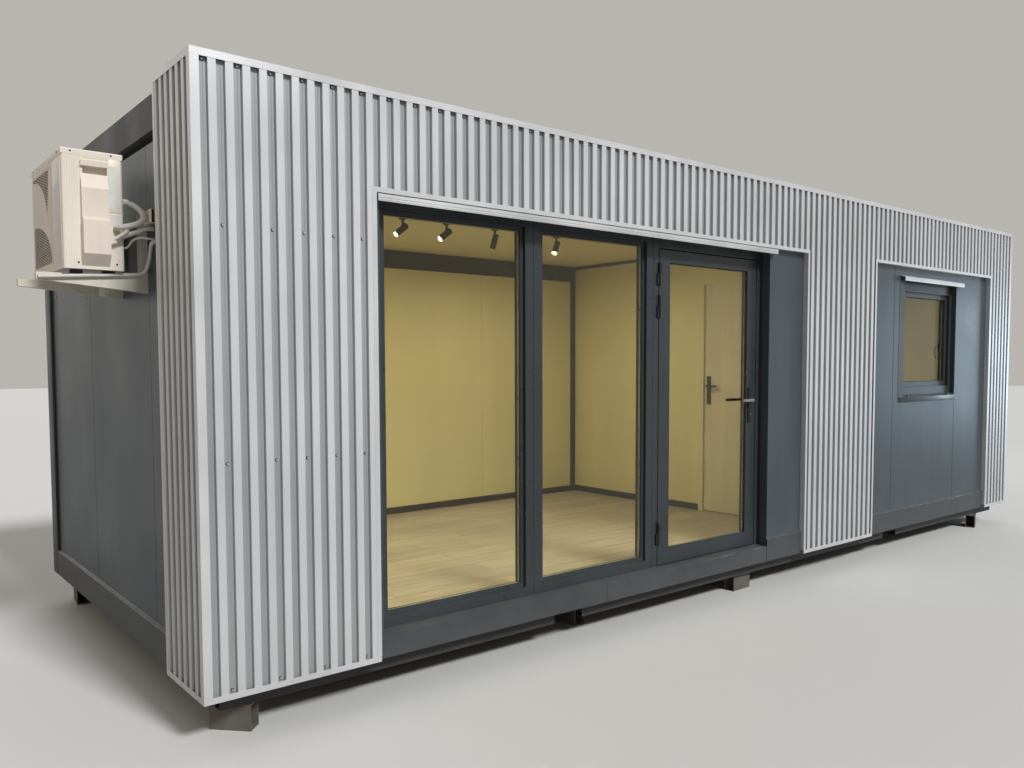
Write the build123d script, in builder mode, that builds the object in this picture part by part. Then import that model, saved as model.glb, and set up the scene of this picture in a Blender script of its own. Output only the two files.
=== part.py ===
"""Portable site cabin: a steel-framed cabin clad in insulated panels, with a ribbed silver front."""
import math
import os

from build123d import *

os.makedirs("parts", exist_ok=True)

# Main sizes, in millimetres
cabin_length = 8120
cabin_depth = 3000
support_height = 120
frame_drop = 80
standoff = 40

# Ribbed cladding
rib_count = 111
rib_crest = 34
rib_slope = 3
rib_depth = 18
sheet_thickness = 1
batten_height = 60
return_length = 485
trim_thickness = 1.5
trim_face = 22
corner_leg = 37
corner_room = 3
foot_face = 25
foot_lip = 22
trim_gap = 1
return_gap = 0.1
cap_face = 30
cap_width = 52
batten_gap = 6
batten_first = 5
batten_pitch = 984
batten_rows = 3
batten_over_head = 15
batten_under_top = 75

# Openings in the cladding: the glazed one from its left end, the small one from its right end
glazed_start = 850
glazed_width = 3620
glazed_head_drop = 18
right_pier = 480
small_width = 2170
small_head_drop = 12

# Steel frame
steel_depth = 60
steel_wall = 4
rail_height = 170
glazing_height = 2155
ring_height = 155
post_width = 70
member_width = 50
member_height = 148
member_wall = 3
member_start = 640
member_pitch = 445
weld_gap = 0.3

# Lifting notches in the long base rails
notch_spread = 3790
notch_width = 220
notch_height = 105

# Insulated panels
wall_thickness = 60
wall_lift = 5
wall_cover = 53
panel_module = 1160
joint_width = 4
joint_depth = 4
side_first_joint = 746
side_module = 1116
corner_cover = 247
roof_thickness = 100
roof_rib_height = 34
roof_rib_width = 60
roof_module = 1000

# Roof edge: a folded sheet channel on the edge of the roof
fascia_sheet = 2
fascia_rise = 170
fascia_drop = 7
fascia_gap = 23
fascia_width = 150
cladding_rise = 30

# Floor
deck_thickness = 22
laminate_thickness = 25

# Base flashing
flashing_proud = 16
flashing_sheet = 2
flashing_low = 110
flashing_high = 160
flashing_rise = 2
flashing_slope = 12
flashing_joint = 2409
flashing_lap = 18
flashing_gap = 2
flashing_clear = 3

# Fixed windows and entrance door, from the left edge of the cladding
frame_setback = 120
frame_depth = 70
frame_face = 80
frame_foot = 97
glass_setback = 24
glass_thickness = 24
glass_edge = 12
glass_clearance = 0.3
windows_start = 886
window_widths = (1028, 992)
window_joint = 2
head_face = 90
bead_width = 22
bead_depth = 18

# Entrance door
door_left_jamb = 51
door_right_jamb = 40
door_opening = 1049
door_head = 93
door_threshold = 21
door_gap = 7
leaf_thickness = 50
leaf_stile = 105
leaf_top_rail = 79
leaf_bottom_rail = 97
door_glass_setback = 14
door_glass_thickness = 20
door_stop = 22
hinge_radius = 9
hinge_stand = 10.5
hinge_length = 140
hinge_gap = 1
hinge_clearance = 0.5
pin_short = 2
hinge_reach = 22
hinge_levels = (255, 1712, 1919)
pin_radius = 5

# Handles
plate_width = 30
plate_height = 246
plate_thickness = 8
plate_below = 160
lever_level = 1161
lever_backset = 72
lever_radius = 9
lever_stand = 58
lever_length = 130
lever_bend = 20
lever_clearance = 0.5
spindle_radius = 5
cylinder_radius = 8
cylinder_drop = 102
cylinder_proud = 5

# Head drips
drip_sheet = 2
drip_proud = 2
drip_lip = 33
drip_fall = 14
drip_under_ring = 11
drip_past = (27, 35)
small_drip_past = (5, 72)
small_drip_rise = 10

# Small window, from the edge of its opening and the lower edge of the cladding
small_window_inset = 480
small_window_width = 1050
small_window_low = 1113
small_window_high = 2150
lining_sheet = 2
sill_rise = 27
sill_fall = 25
sill_nose = 32
sill_lip = 36
small_frame_setback = 39
small_frame_depth = 75
small_frame_face = 47
small_frame_foot = 92
small_frame_head = 112
small_sash_face = 43
small_sash_gap = 0.5
small_sash_setback = 22
small_glass_setback = 39
small_glass_thickness = 20
window_handle_plate = (28, 10, 64)
window_handle_radius = 8
window_handle_stand = 26
window_handle_length = 120
window_handle_rise = 8
window_handle_drop = 55

# Partition and inner door, from the cladding's left edge and front face
partition_face = 4845
partition_thickness = 60
inner_latch = 1256
inner_leaf_width = 800
inner_leaf_height = 1994
inner_leaf_thickness = 40
inner_frame_face = 30
inner_gap = 7
inner_stop = 12
inner_stop_thickness = 15
inner_plate_width = 40
inner_lever_level = 1220
inner_backset = 59
inner_lever_length = 110
inner_hinge_radius = 8
inner_hinge_length = 80
inner_hinge_levels = (230, 1650)
inner_pin_short = 6
trim_strip = 30
trim_strip_thickness = 6

# Skirting
skirting_height = 55
skirting_thickness = 12
skirting_round = 40

# Spotlights
spot_places = (1865, 2220, 2645, 2950, 3245)
spot_setback = 1400
spot_base_radius = 28
spot_base_height = 14
spot_arm = 12
spot_arm_length = 62
spot_radius = 22
spot_length = 105
spot_behind = 35
spot_rim = 4
spot_rim_depth = 6
spot_aims = ((-52, 0), (-53, 0), (0, -24), (-52, 0), (-31, 14))

# Cooling unit outside the left wall, from the cladding's left edge, front face and lower edge
unit_clear = 73
unit_depth = 257
unit_start = 715
unit_width = 655
unit_low = 1858
unit_height = 532
unit_corner = 12
unit_foot_height = 20
unit_foot_width = 50
unit_lid = 25
unit_lid_proud = 1
unit_lid_round = 6
unit_lid_lap = 2
guard_inset = 30
guard_rim = 12
guard_sheet = 3
guard_height = 460
guard_width = 430
guard_depth = 12
guard_bar = 4
guard_bars = 14
cover_start = 139
cover_width = 114
cover_lip_top = 2342
cover_lip_low = 2318
cover_lip_proud = 14
pocket_low = 2286
pocket_depth = 25
cover_profile = ((0, 2286), (2, 2283), (22, 2220), (22, 2090), (40, 2075), (40, 1925), (0, 1872))
bracket_places = (770, 1200)
bracket_width = 35
bracket_reach = 475
bracket_root = 74
bracket_tip = 33
bracket_upright = 300
bracket_plate = 38
foot_inset = 35

# Pipes of the cooling unit, by points from the cladding's left edge, front face and lower edge
arc_share = 0.45
thick_pipe_radius = 13
thick_pipe_points = (
    (-73, 742, 2178),
    (-44, 742, 2178),
    (-14, 702, 2155),
    (2, 655, 2118),
    (-8, 652, 2084),
    (-46, 660, 2064),
    (-108, 680, 2050),
    (-108, 715, 2050),
)
thin_pipe_radius = 11
thin_pipe_points = (
    (40, 655, 2056),
    (12, 655, 2056),
    (-18, 672, 2040),
    (-62, 682, 2025),
    (-94, 684, 2006),
    (-94, 715, 2006),
)
cable_radius = 5
cable_points = (
    (40, 618, 2003),
    (14, 618, 2003),
    (-18, 650, 2012),
    (-46, 690, 2000),
    (-54, 735, 1966),
    (-73, 735, 1966),
)
duct_proud = 22
duct_sheet = 2
duct_y = (606, 742)
duct_z = (2078, 2142)
hose_radius = 9
hose_points = (
    (40, 600, 1990),
    (15, 600, 1990),
    (22, 645, 1950),
    (23, 682, 1892),
    (16, 722, 1858),
    (-12, 743, 1847),
)
hose_rest = ((-64, 1844), (-430, 1815))

# Support blocks: offcuts of square tube, by the distances of their centres and their turns
block_length = 195
block_width = 83
block_wall = 6
left_blocks = ((193, 180, -47), (3893, 176, 2))
member_blocks = ((4, 370, 90), (-3, 610, 88))
right_block = (495, 118, 20)
left_back_blocks = ((160, 150, 84), (3893, 100, 0))
right_back_block = (220, 140, -62)

# Margin by which a cut runs past the faces that it opens
past = 1

# Places worked out from the sizes
rib_pitch = (cabin_length - rib_crest) / rib_count
bracket_out = bracket_reach - standoff
left = (bracket_out - cabin_length - trim_thickness) / 2
right = left + cabin_length
front = -(cabin_depth + flashing_proud - trim_thickness) / 2
back = front + cabin_depth
body_left = left + standoff
body_right = right - standoff
body_front = front + standoff
steel_left = body_left + wall_thickness
steel_right = body_right - wall_thickness
steel_front = body_front + wall_thickness
steel_back = back - wall_thickness
room_left = steel_left + steel_depth
room_right = steel_right - steel_depth
room_front = steel_front + steel_depth
room_back = steel_back - steel_depth
base = support_height + frame_drop
rail_top = support_height + rail_height
ring_bottom = rail_top + glazing_height
ceiling = ring_bottom + ring_height
roof_top = ceiling + roof_thickness
wall_bottom = base + wall_lift
wall_top = ceiling + wall_cover
fascia_top = roof_top + fascia_rise
fascia_low = roof_top + fascia_drop
fascia_foot = wall_top + fascia_gap
cladding_top = fascia_top + cladding_rise
deck_bottom = rail_top - deck_thickness
floor_level = rail_top + laminate_thickness
glazed_end = glazed_start + glazed_width
glazed_head = ring_bottom - glazed_head_drop
small_end = cabin_length - right_pier
small_start = small_end - small_width
small_head = ring_bottom - small_head_drop
small_window_start = small_start + small_window_inset
frame_front = front + frame_setback
frame_back = frame_front + frame_depth
door_start = left + windows_start + sum(window_widths) + len(window_widths) * window_joint
door_end = door_start + door_left_jamb + door_opening + door_right_jamb
part_x = (left + partition_face, left + partition_face + partition_thickness)
small_x = (left + small_window_start, left + small_window_start + small_window_width)
small_z = (base + small_window_low, base + small_window_high)
joint_count = int((small_x[1] - steel_left) / panel_module) + 1
wall_joints = [small_x[1] - step * panel_module for step in range(joint_count)]
notch_starts = [(left + right) / 2 + side * notch_spread / 2 - notch_width / 2 for side in (-1, 1)]
member_steps = range(int((cabin_length - member_start - member_width) / member_pitch) + 1)
member_xs = [
    x
    for x in (left + member_start + step * member_pitch for step in member_steps)
    if x + member_width / 2 < room_right
    and not any(start - member_width < x < start + notch_width + member_width / 2 for start in notch_starts)
]


def span(start, length):
    """The two ends of a stretch that begins at start."""
    return (start, start + length)


def block(x, y, z, mode=Mode.ADD):
    """A straight block between three pairs of limits."""
    with BuildSketch(Plane.XY.offset(z[0])) as base_face:
        with Locations(((x[0] + x[1]) / 2, (y[0] + y[1]) / 2)):
            Rectangle(x[1] - x[0], y[1] - y[0])
    extrude(base_face.sketch, amount=z[1] - z[0], mode=mode)


def prism(plane, points, length, mode=Mode.ADD):
    """A closed outline on a plane, drawn out along the plane's normal."""
    with BuildSketch(plane) as outline:
        with BuildLine():
            Polyline(*points, close=True)
        make_face()
    extrude(outline.sketch, amount=length, mode=mode)


def along_x(points, x, mode=Mode.ADD):
    """A (y, z) outline drawn out along X between two limits."""
    prism(Plane.YZ.offset(x[0]), points, x[1] - x[0], mode)


def along_y(points, y, mode=Mode.ADD):
    """An (x, z) outline drawn out along Y between two limits."""
    prism(Plane.XZ.offset(-y[1]), points, y[1] - y[0], mode)


def along_z(points, z, mode=Mode.ADD):
    """An (x, y) outline drawn up between two heights."""
    prism(Plane.XY.offset(z[0]), points, z[1] - z[0], mode)


def rod(start, direction, radius, length, mode=Mode.ADD):
    """A round bar that begins at a point and runs in a direction."""
    with BuildSketch(Plane(origin=start, z_dir=direction)) as section:
        Circle(radius)
    extrude(section.sketch, amount=length, mode=mode)


def tube(places, radius):
    """A bent pipe: straight runs joined by the largest arcs that the runs leave room for."""
    points = [Vector(left + x, front + y, base + z) for x, y, z in places]
    arcs = []
    for before, corner, after in zip(points, points[1:], points[2:]):
        runs = (corner - before, after - corner)
        turn = math.radians(runs[0].get_angle(runs[1]))
        arcs.append(arc_share * min(runs[0].length, runs[1].length) / math.tan(turn / 2))
    print("arcs of a pipe", [round(arc) for arc in arcs])
    with BuildLine() as run:
        FilletPolyline(*points, radius=arcs)
    with BuildSketch(Plane(origin=run.line @ 0, z_dir=run.line % 0)) as section:
        Circle(radius)
    sweep(section.sketch, path=run.line)


def save(piece, name):
    """Names a finished piece and writes it to its own file."""
    piece.part.label = name
    export_step(piece.part, f"parts/{name}.step")


# Support blocks: short offcuts of square tube under the base frame
block_places = [(left + x, front + y, turn) for x, y, turn in left_blocks]
block_places += [(member_xs[member], front + y, turn) for member, y, turn in member_blocks]
block_places += [(right - right_block[0], front + right_block[1], right_block[2])]
block_places += [(left + x, back - y, turn) for x, y, turn in left_back_blocks]
block_places += [(right - right_back_block[0], back - right_back_block[1], right_back_block[2])]
with BuildPart() as support_blocks:
    for x, y, turn in block_places:
        heading = math.radians(turn)
        run = Vector(math.cos(heading), math.sin(heading), 0)
        middle = Vector(x, y, support_height / 2)
        section = Plane(origin=middle - run * (block_length / 2), x_dir=(0, 0, 1), z_dir=run)
        with BuildSketch(section):
            Rectangle(support_height, block_width)
            Rectangle(support_height - 2 * block_wall, block_width - 2 * block_wall, mode=Mode.SUBTRACT)
        extrude(amount=block_length)
save(support_blocks, "support_blocks")


def channel(outer, inner, low, high, wall):
    """Outline of a channel whose web is at outer and whose flanges reach to inner."""
    toward = 1 if inner > outer else -1
    web = outer + toward * wall
    return [
        (outer, low),
        (inner, low),
        (inner, low + wall),
        (web, low + wall),
        (web, high - wall),
        (inner, high - wall),
        (inner, high),
        (outer, high),
    ]


# Base rails: channels welded into a ring, the long ones notched from below for lifting forks
between_rails = (room_front + weld_gap, room_back - weld_gap)
with BuildPart() as base_rails:
    for outer, inner in ((steel_front, room_front), (steel_back, room_back)):
        along_x(channel(outer, inner, support_height, rail_top, steel_wall), (steel_left, steel_right))
        for start in notch_starts:
            block(
                span(start, notch_width),
                (min(outer, inner) - past, max(outer, inner) + past),
                (support_height - past, support_height + notch_height),
                mode=Mode.SUBTRACT,
            )
    for outer, inner in ((steel_left, room_left), (steel_right, room_right)):
        along_y(channel(outer, inner, support_height, rail_top, steel_wall), between_rails)
save(base_rails, "base_rails")

# Cross members between the long rails, left out where the forks go in
with BuildPart() as cross_members:
    for x in member_xs:
        along_y(
            channel(
                x - member_width / 2,
                x + member_width / 2,
                support_height,
                support_height + member_height,
                member_wall,
            ),
            between_rails,
        )
save(cross_members, "cross_members")

# Posts: square tubes at the corners, beside the glazing and beside the partition
corner_posts = [
    (span(x, steel_depth), span(y, steel_depth))
    for x in (steel_left, room_right)
    for y in (steel_front, room_back)
]
wall_posts = [
    (span(left + windows_start - post_width, post_width), (steel_front, room_front)),
    (span(door_end, post_width), (steel_front, room_front)),
    (span(part_x[0] - post_width, post_width), (room_back, steel_back)),
]
with BuildPart() as posts:
    for x, y in corner_posts + wall_posts:
        block(x, y, (rail_top, ring_bottom))
        block(
            (x[0] + steel_wall, x[1] - steel_wall),
            (y[0] + steel_wall, y[1] - steel_wall),
            (rail_top - past, ring_bottom + past),
            mode=Mode.SUBTRACT,
        )
save(posts, "posts")

# Ring beams: rectangular tubes on top of the posts
with BuildPart() as ring_beams:
    for y in ((steel_front, room_front), (room_back, steel_back)):
        block((steel_left, steel_right), y, (ring_bottom, ceiling))
        block(
            (steel_left - past, steel_right + past),
            (y[0] + steel_wall, y[1] - steel_wall),
            (ring_bottom + steel_wall, ceiling - steel_wall),
            mode=Mode.SUBTRACT,
        )
    for x in ((steel_left, room_left), (room_right, steel_right)):
        block(x, between_rails, (ring_bottom, ceiling))
        block(
            (x[0] + steel_wall, x[1] - steel_wall),
            (between_rails[0] - past, between_rails[1] + past),
            (ring_bottom + steel_wall, ceiling - steel_wall),
            mode=Mode.SUBTRACT,
        )
save(ring_beams, "ring_beams")

# Roof panels on the ring beams, with a raised rib along each joint
with BuildPart() as roof_panels:
    block((steel_left, steel_right), (steel_front, steel_back), (ceiling, roof_top))
    for step in range(1, int((steel_right - steel_left) / roof_module)):
        x = steel_left + step * roof_module
        along_y(
            [
                (x - roof_rib_width / 2, roof_top - past),
                (x + roof_rib_width / 2, roof_top - past),
                (x + roof_rib_width / 4, roof_top + roof_rib_height),
                (x - roof_rib_width / 4, roof_top + roof_rib_height),
            ],
            (body_front + fascia_width + past, back - fascia_width - past),
        )
save(roof_panels, "roof_panels")


def fascia_body(inset, mode=Mode.ADD):
    """The outline of the fascia, drawn in by the thickness of its sheet."""
    fall = math.degrees(math.atan2(wall_thickness, fascia_low - fascia_foot))
    low = fascia_foot + inset
    with BuildSketch(Plane.XY.offset(low)) as foot:
        with Locations(((body_left + body_right) / 2, (body_front + back) / 2)):
            Rectangle(
                steel_right - steel_left - 2 * inset,
                steel_back - steel_front - 2 * inset,
            )
    extrude(foot.sketch, amount=fascia_low - fascia_foot, taper=-fall, mode=mode)
    block(
        (body_left + inset, body_right - inset),
        (body_front + inset, back - inset),
        (fascia_low + inset, fascia_top - inset),
        mode,
    )


# Fascia: a folded sheet channel along the edge of the roof, mitred at the corners
fascia_x = (body_left + fascia_width, body_right - fascia_width)
fascia_y = (body_front + fascia_width, back - fascia_width)
with BuildPart() as roof_fascia:
    fascia_body(0)
    fascia_body(fascia_sheet, Mode.SUBTRACT)
    block(
        (fascia_x[0] - fascia_sheet, fascia_x[1] + fascia_sheet),
        (fascia_y[0] - fascia_sheet, fascia_y[1] + fascia_sheet),
        (roof_top, fascia_top),
    )
    block(fascia_x, fascia_y, (fascia_foot - past, fascia_top + past), Mode.SUBTRACT)
    roof_z = (fascia_foot - past, roof_top)
    block((steel_left, steel_right), (steel_front, steel_back), roof_z, mode=Mode.SUBTRACT)
save(roof_fascia, "roof_fascia")

# Floor: boards on the cross members and a laminate finish over them
frames_x = (left + windows_start, door_end)
with BuildPart() as floor_deck:
    block((room_left, room_right), (room_front, room_back), (deck_bottom, rail_top))
save(floor_deck, "floor_deck")

with BuildPart() as laminate_floor:
    block((room_left, room_right), (room_front, room_back), (rail_top, floor_level))
    block(
        (frames_x[0] - weld_gap, frames_x[1] + weld_gap),
        (room_front - past, frame_back + weld_gap),
        (rail_top - past, floor_level + past),
        mode=Mode.SUBTRACT,
    )
save(laminate_floor, "laminate_floor")


def joint(x, y):
    """A panel joint, cut into the face of a wall."""
    block(x, y, (wall_bottom - past, wall_top + past), mode=Mode.SUBTRACT)


# Outer wall panels
side_joints = [
    front + place for place in (side_first_joint, side_first_joint + side_module, cabin_depth - corner_cover)
]
with BuildPart() as left_wall:
    block((body_left, steel_left), (steel_front, back), (wall_bottom, wall_top))
    for y in side_joints:
        joint((body_left - past, body_left + joint_depth), span(y - joint_width / 2, joint_width))
save(left_wall, "left_wall")

with BuildPart() as right_wall:
    block((steel_right, body_right), (steel_front, back), (wall_bottom, wall_top))
    for y in side_joints:
        joint((body_right - joint_depth, body_right + past), span(y - joint_width / 2, joint_width))
save(right_wall, "right_wall")

with BuildPart() as back_wall:
    block((steel_left, steel_right), (steel_back, back), (wall_bottom, wall_top))
    for x in wall_joints:
        joint(span(x - joint_width / 2, joint_width), (back - joint_depth, back + past))
save(back_wall, "back_wall")

with BuildPart() as front_wall_left:
    block((body_left, frames_x[0]), (body_front, steel_front), (wall_bottom, wall_top))
save(front_wall_left, "front_wall_left")

with BuildPart() as front_wall_header:
    block(
        (frames_x[0] + weld_gap, frames_x[1] - weld_gap),
        (body_front, steel_front),
        (ring_bottom, wall_top),
    )
save(front_wall_header, "front_wall_header")

with BuildPart() as front_wall_right:
    block((frames_x[1], body_right), (body_front, steel_front), (wall_bottom, wall_top))
    for x in wall_joints:
        if x > frames_x[1] + joint_width:
            joint(span(x - joint_width / 2, joint_width), (body_front - past, body_front + joint_depth))
    block(small_x, (body_front - past, steel_front + past), small_z, mode=Mode.SUBTRACT)
save(front_wall_right, "front_wall_right")

# Linings between the posts, flush with the steel on the room side
lining_z = (rail_top, ring_bottom)
with BuildPart() as wall_linings:
    block((room_left + weld_gap, wall_posts[0][0][0] - weld_gap), (steel_front, room_front), lining_z)
    block((steel_left, room_left), between_rails, lining_z)
    block((room_right, steel_right), between_rails, lining_z)
    block((room_left + weld_gap, wall_posts[2][0][0] - weld_gap), (room_back, steel_back), lining_z)
    block((wall_posts[2][0][1] + weld_gap, room_right - weld_gap), (room_back, steel_back), lining_z)
save(wall_linings, "wall_linings")

with BuildPart() as window_wall_lining:
    block((wall_posts[1][0][1] + weld_gap, room_right - weld_gap), (steel_front, room_front), lining_z)
    block(small_x, (steel_front - past, room_front + past), small_z, mode=Mode.SUBTRACT)
save(window_wall_lining, "window_wall_lining")


def flashing(face, wall, seat, height, rise):
    """Outline of a folded flashing: a leg back to the frame, a face and a ledge up to the wall."""
    toward = 1 if wall > face else -1
    t = flashing_sheet
    top = base + height
    return [
        (seat, base),
        (face, base),
        (face, top),
        (wall, top + rise),
        (wall, top + rise - t),
        (face + toward * t, top - t),
        (face + toward * t, base + t),
        (seat, base + t),
    ]


# Base flashing round the foot of the walls
flashing_front = body_front - flashing_proud
low_flashing = flashing(flashing_front, frame_front, steel_front, flashing_low, flashing_rise)
high_flashing = flashing(flashing_front, body_front, steel_front, flashing_high, flashing_slope)
with BuildPart() as base_flashing:
    along_x(
        flashing(flashing_front, body_front, steel_front, flashing_low, flashing_rise),
        (left + glazed_start + flashing_gap, frames_x[0]),
    )
    along_x(low_flashing, (frames_x[0] + weld_gap, left + flashing_joint))
    along_x(low_flashing, (left + flashing_joint + flashing_gap, door_end - flashing_lap))
    along_x(high_flashing, (door_end - flashing_lap + 2 * flashing_gap, left + glazed_end - flashing_gap))
    along_x(high_flashing, (left + small_start + flashing_gap, left + small_end - flashing_gap))
    side_run = (front + return_length + flashing_clear, steel_back - weld_gap)
    for face, wall, seat in (
        (body_left - flashing_proud, body_left, steel_left),
        (body_right + flashing_proud, body_right, steel_right),
    ):
        along_y(flashing(face, wall, seat, flashing_high, flashing_slope), side_run)
    along_x(
        flashing(back + flashing_proud, back, steel_back, flashing_high, flashing_slope),
        (body_left - flashing_proud, body_right + flashing_proud),
    )
save(base_flashing, "base_flashing")


def rib_outline(start, end):
    """Bends of the ribbed sheet between two distances from the corner: distance and depth."""

    def depth_at(place):
        step = place % rib_pitch
        if step <= rib_crest:
            return 0.0
        if step < rib_crest + rib_slope:
            return rib_depth * (step - rib_crest) / rib_slope
        if step <= rib_pitch - rib_slope:
            return float(rib_depth)
        return rib_depth * (rib_pitch - step) / rib_slope

    places = [start]
    for rib in range(int(start // rib_pitch), int(end // rib_pitch) + 1):
        for bend in (0, rib_crest, rib_crest + rib_slope, rib_pitch - rib_slope):
            place = rib * rib_pitch + bend
            if start + 1 < place < end - 1:
                places.append(place)
    places.append(end)
    return [(place, depth_at(place)) for place in places]


def ribbed_front(start, end, z):
    """A ribbed sheet on the front wall."""
    outer = [(left + place, front + depth) for place, depth in rib_outline(start, end)]
    inner = [(x, y + sheet_thickness) for x, y in reversed(outer)]
    along_z(outer + inner, z)


def ribbed_side(edge, inward, start, end, z):
    """A ribbed sheet on a return."""
    outer = [(edge + inward * depth, front + place) for place, depth in rib_outline(start, end)]
    inner = [(x + inward * sheet_thickness, y) for x, y in reversed(outer)]
    along_z(outer + inner, z)


# Ribbed sheets: piers between the openings, headers over them and a return at each end
full_z = (base, cladding_top)
corner_clear = rib_depth + corner_room
piers = (
    (corner_clear, glazed_start),
    (glazed_end, small_start),
    (small_end, cabin_length - corner_clear),
)
headers = ((glazed_start, glazed_end, glazed_head), (small_start, small_end, small_head))
with BuildPart() as cladding_piers:
    for start, end in piers:
        ribbed_front(start, end, full_z)
save(cladding_piers, "cladding_piers")

with BuildPart() as cladding_headers:
    for start, end, head in headers:
        ribbed_front(start + weld_gap, end - weld_gap, (head, cladding_top))
save(cladding_headers, "cladding_headers")

with BuildPart() as cladding_returns:
    ribbed_side(left, 1, corner_clear, return_length, full_z)
    ribbed_side(right, -1, corner_clear, return_length, full_z)
save(cladding_returns, "cladding_returns")

# Battens that hold the ribbed sheets off the walls
batten_y = (front + rib_depth + sheet_thickness, body_front)
low_battens = [base + batten_first + row * batten_pitch for row in range(batten_rows)]
high_battens = [ring_bottom + batten_over_head, cladding_top - batten_under_top]
pier_battens = [
    (max(left + start, body_left) + batten_gap, min(left + end, body_right) - batten_gap)
    for start, end in piers
]
side_batten_y = (body_front + batten_gap, front + return_length - batten_gap)
with BuildPart() as battens:
    for level in low_battens:
        for x in pier_battens:
            block(x, batten_y, span(level, batten_height))
    for level in high_battens:
        block((body_left + batten_gap, body_right - batten_gap), batten_y, span(level, batten_height))
    for level in low_battens + high_battens:
        block((left + rib_depth + sheet_thickness, body_left), side_batten_y, span(level, batten_height))
        block((body_right, right - rib_depth - sheet_thickness), side_batten_y, span(level, batten_height))
save(battens, "battens")

# Top cap over the ribbed sheets, with a turned-down face
reach = front + return_length


def cap_ring(outer, inner):
    """A U-shaped outline round the front and both returns."""
    return [
        (left - outer, reach),
        (left - outer, front - outer),
        (right + outer, front - outer),
        (right + outer, reach),
        (right + inner, reach),
        (right + inner, front - inner),
        (left - inner, front - inner),
        (left - inner, reach),
    ]


with BuildPart() as cladding_cap:
    along_z(cap_ring(trim_thickness, -cap_width), span(cladding_top, trim_thickness))
    along_z(cap_ring(trim_thickness, 0), (cladding_top - cap_face, cladding_top + trim_thickness / 2))
save(cladding_cap, "cladding_cap")

# Trims: angles on the corners, round the openings and along the foot of the ribbed sheets
trim_top = cladding_top - cap_face - weld_gap
trim_back = body_front - trim_gap
trim_foot = base + foot_face + weld_gap


def edge_trim(place, toward, z):
    """An angle on a cut edge of the front sheets: a face strip and a leg back to the wall."""
    strip = place + toward * trim_face
    leg = place - toward * trim_thickness
    along_z(
        [
            (leg, front - trim_thickness),
            (strip, front - trim_thickness),
            (strip, front),
            (place, front),
            (place, trim_back),
            (leg, trim_back),
        ],
        z,
    )


with BuildPart() as cladding_trims:
    along_z(cap_ring(trim_thickness, 0), (base - trim_thickness, base + foot_face))
    along_z(cap_ring(trim_thickness, -foot_lip), (base - trim_thickness, base))
    for start, end, head in headers:
        block(
            (left + start, left + end),
            (front - trim_thickness - past, front + foot_lip + past),
            (base - trim_thickness - past, base + foot_face + past),
            mode=Mode.SUBTRACT,
        )
    for edge, inward in ((left, 1), (right, -1)):
        along_z(
            [
                (edge - inward * trim_thickness, front - trim_thickness),
                (edge + inward * corner_leg, front - trim_thickness),
                (edge + inward * corner_leg, front),
                (edge, front),
                (edge, front + corner_leg),
                (edge - inward * trim_thickness, front + corner_leg),
            ],
            (trim_foot, trim_top),
        )
        along_z(
            [
                (edge - inward * trim_thickness, reach - trim_face),
                (edge, reach - trim_face),
                (edge, reach + return_gap),
                (edge + inward * (standoff - trim_gap), reach + return_gap),
                (edge + inward * (standoff - trim_gap), reach + trim_thickness),
                (edge - inward * trim_thickness, reach + trim_thickness),
            ],
            (trim_foot, trim_top),
        )
    for start, end, head in headers:
        edge_trim(left + start, -1, (trim_foot, head - trim_thickness - weld_gap))
        edge_trim(left + end, 1, (trim_foot, head - trim_thickness - weld_gap))
        block(
            (left + start, left + end),
            (front - trim_thickness, trim_back),
            (head - trim_thickness, head),
        )
        block(
            (left + start - trim_face, left + end + trim_face),
            (front - trim_thickness, front),
            (head - trim_thickness, head + trim_face),
        )
save(cladding_trims, "cladding_trims")


def framed_opening(x, z, faces, y, groove_y):
    """A frame round a pane: outer limits, face widths (left, right, foot, head), depth and glass groove."""
    sight_x = (x[0] + faces[0], x[1] - faces[1])
    sight_z = (z[0] + faces[2], z[1] - faces[3])
    block(x, y, z)
    block(sight_x, (y[0] - past, y[1] + past), sight_z, mode=Mode.SUBTRACT)
    block(
        (sight_x[0] - glass_edge, sight_x[1] + glass_edge),
        groove_y,
        (sight_z[0] - glass_edge, sight_z[1] + glass_edge),
        mode=Mode.SUBTRACT,
    )
    return sight_x, sight_z


def pane(sight_x, sight_z, groove_y):
    """The sealed pane that sits in a frame's groove."""
    edge = glass_edge - glass_clearance
    block(
        (sight_x[0] - edge, sight_x[1] + edge),
        (groove_y[0] + glass_clearance, groove_y[1]),
        (sight_z[0] - edge, sight_z[1] + edge),
    )


# Fixed windows
window_groove = span(frame_front + glass_setback, glass_thickness)
window_sights = []
with BuildPart() as window_frames:
    x = left + windows_start
    for width in window_widths:
        faces = (frame_face, frame_face, frame_foot, head_face)
        sight_x, sight_z = framed_opening(
            span(x, width), (rail_top, ring_bottom), faces, (frame_front, frame_back), window_groove
        )
        block(
            (sight_x[0] - bead_width, sight_x[1] + bead_width),
            (frame_front - past, frame_front + bead_depth),
            (sight_z[0] - bead_width, sight_z[1] + bead_width),
            mode=Mode.SUBTRACT,
        )
        window_sights.append((sight_x, sight_z))
        x += width + window_joint
save(window_frames, "window_frames")

with BuildPart() as window_glass:
    for sight_x, sight_z in window_sights:
        pane(sight_x, sight_z, window_groove)
save(window_glass, "window_glass")

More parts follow.
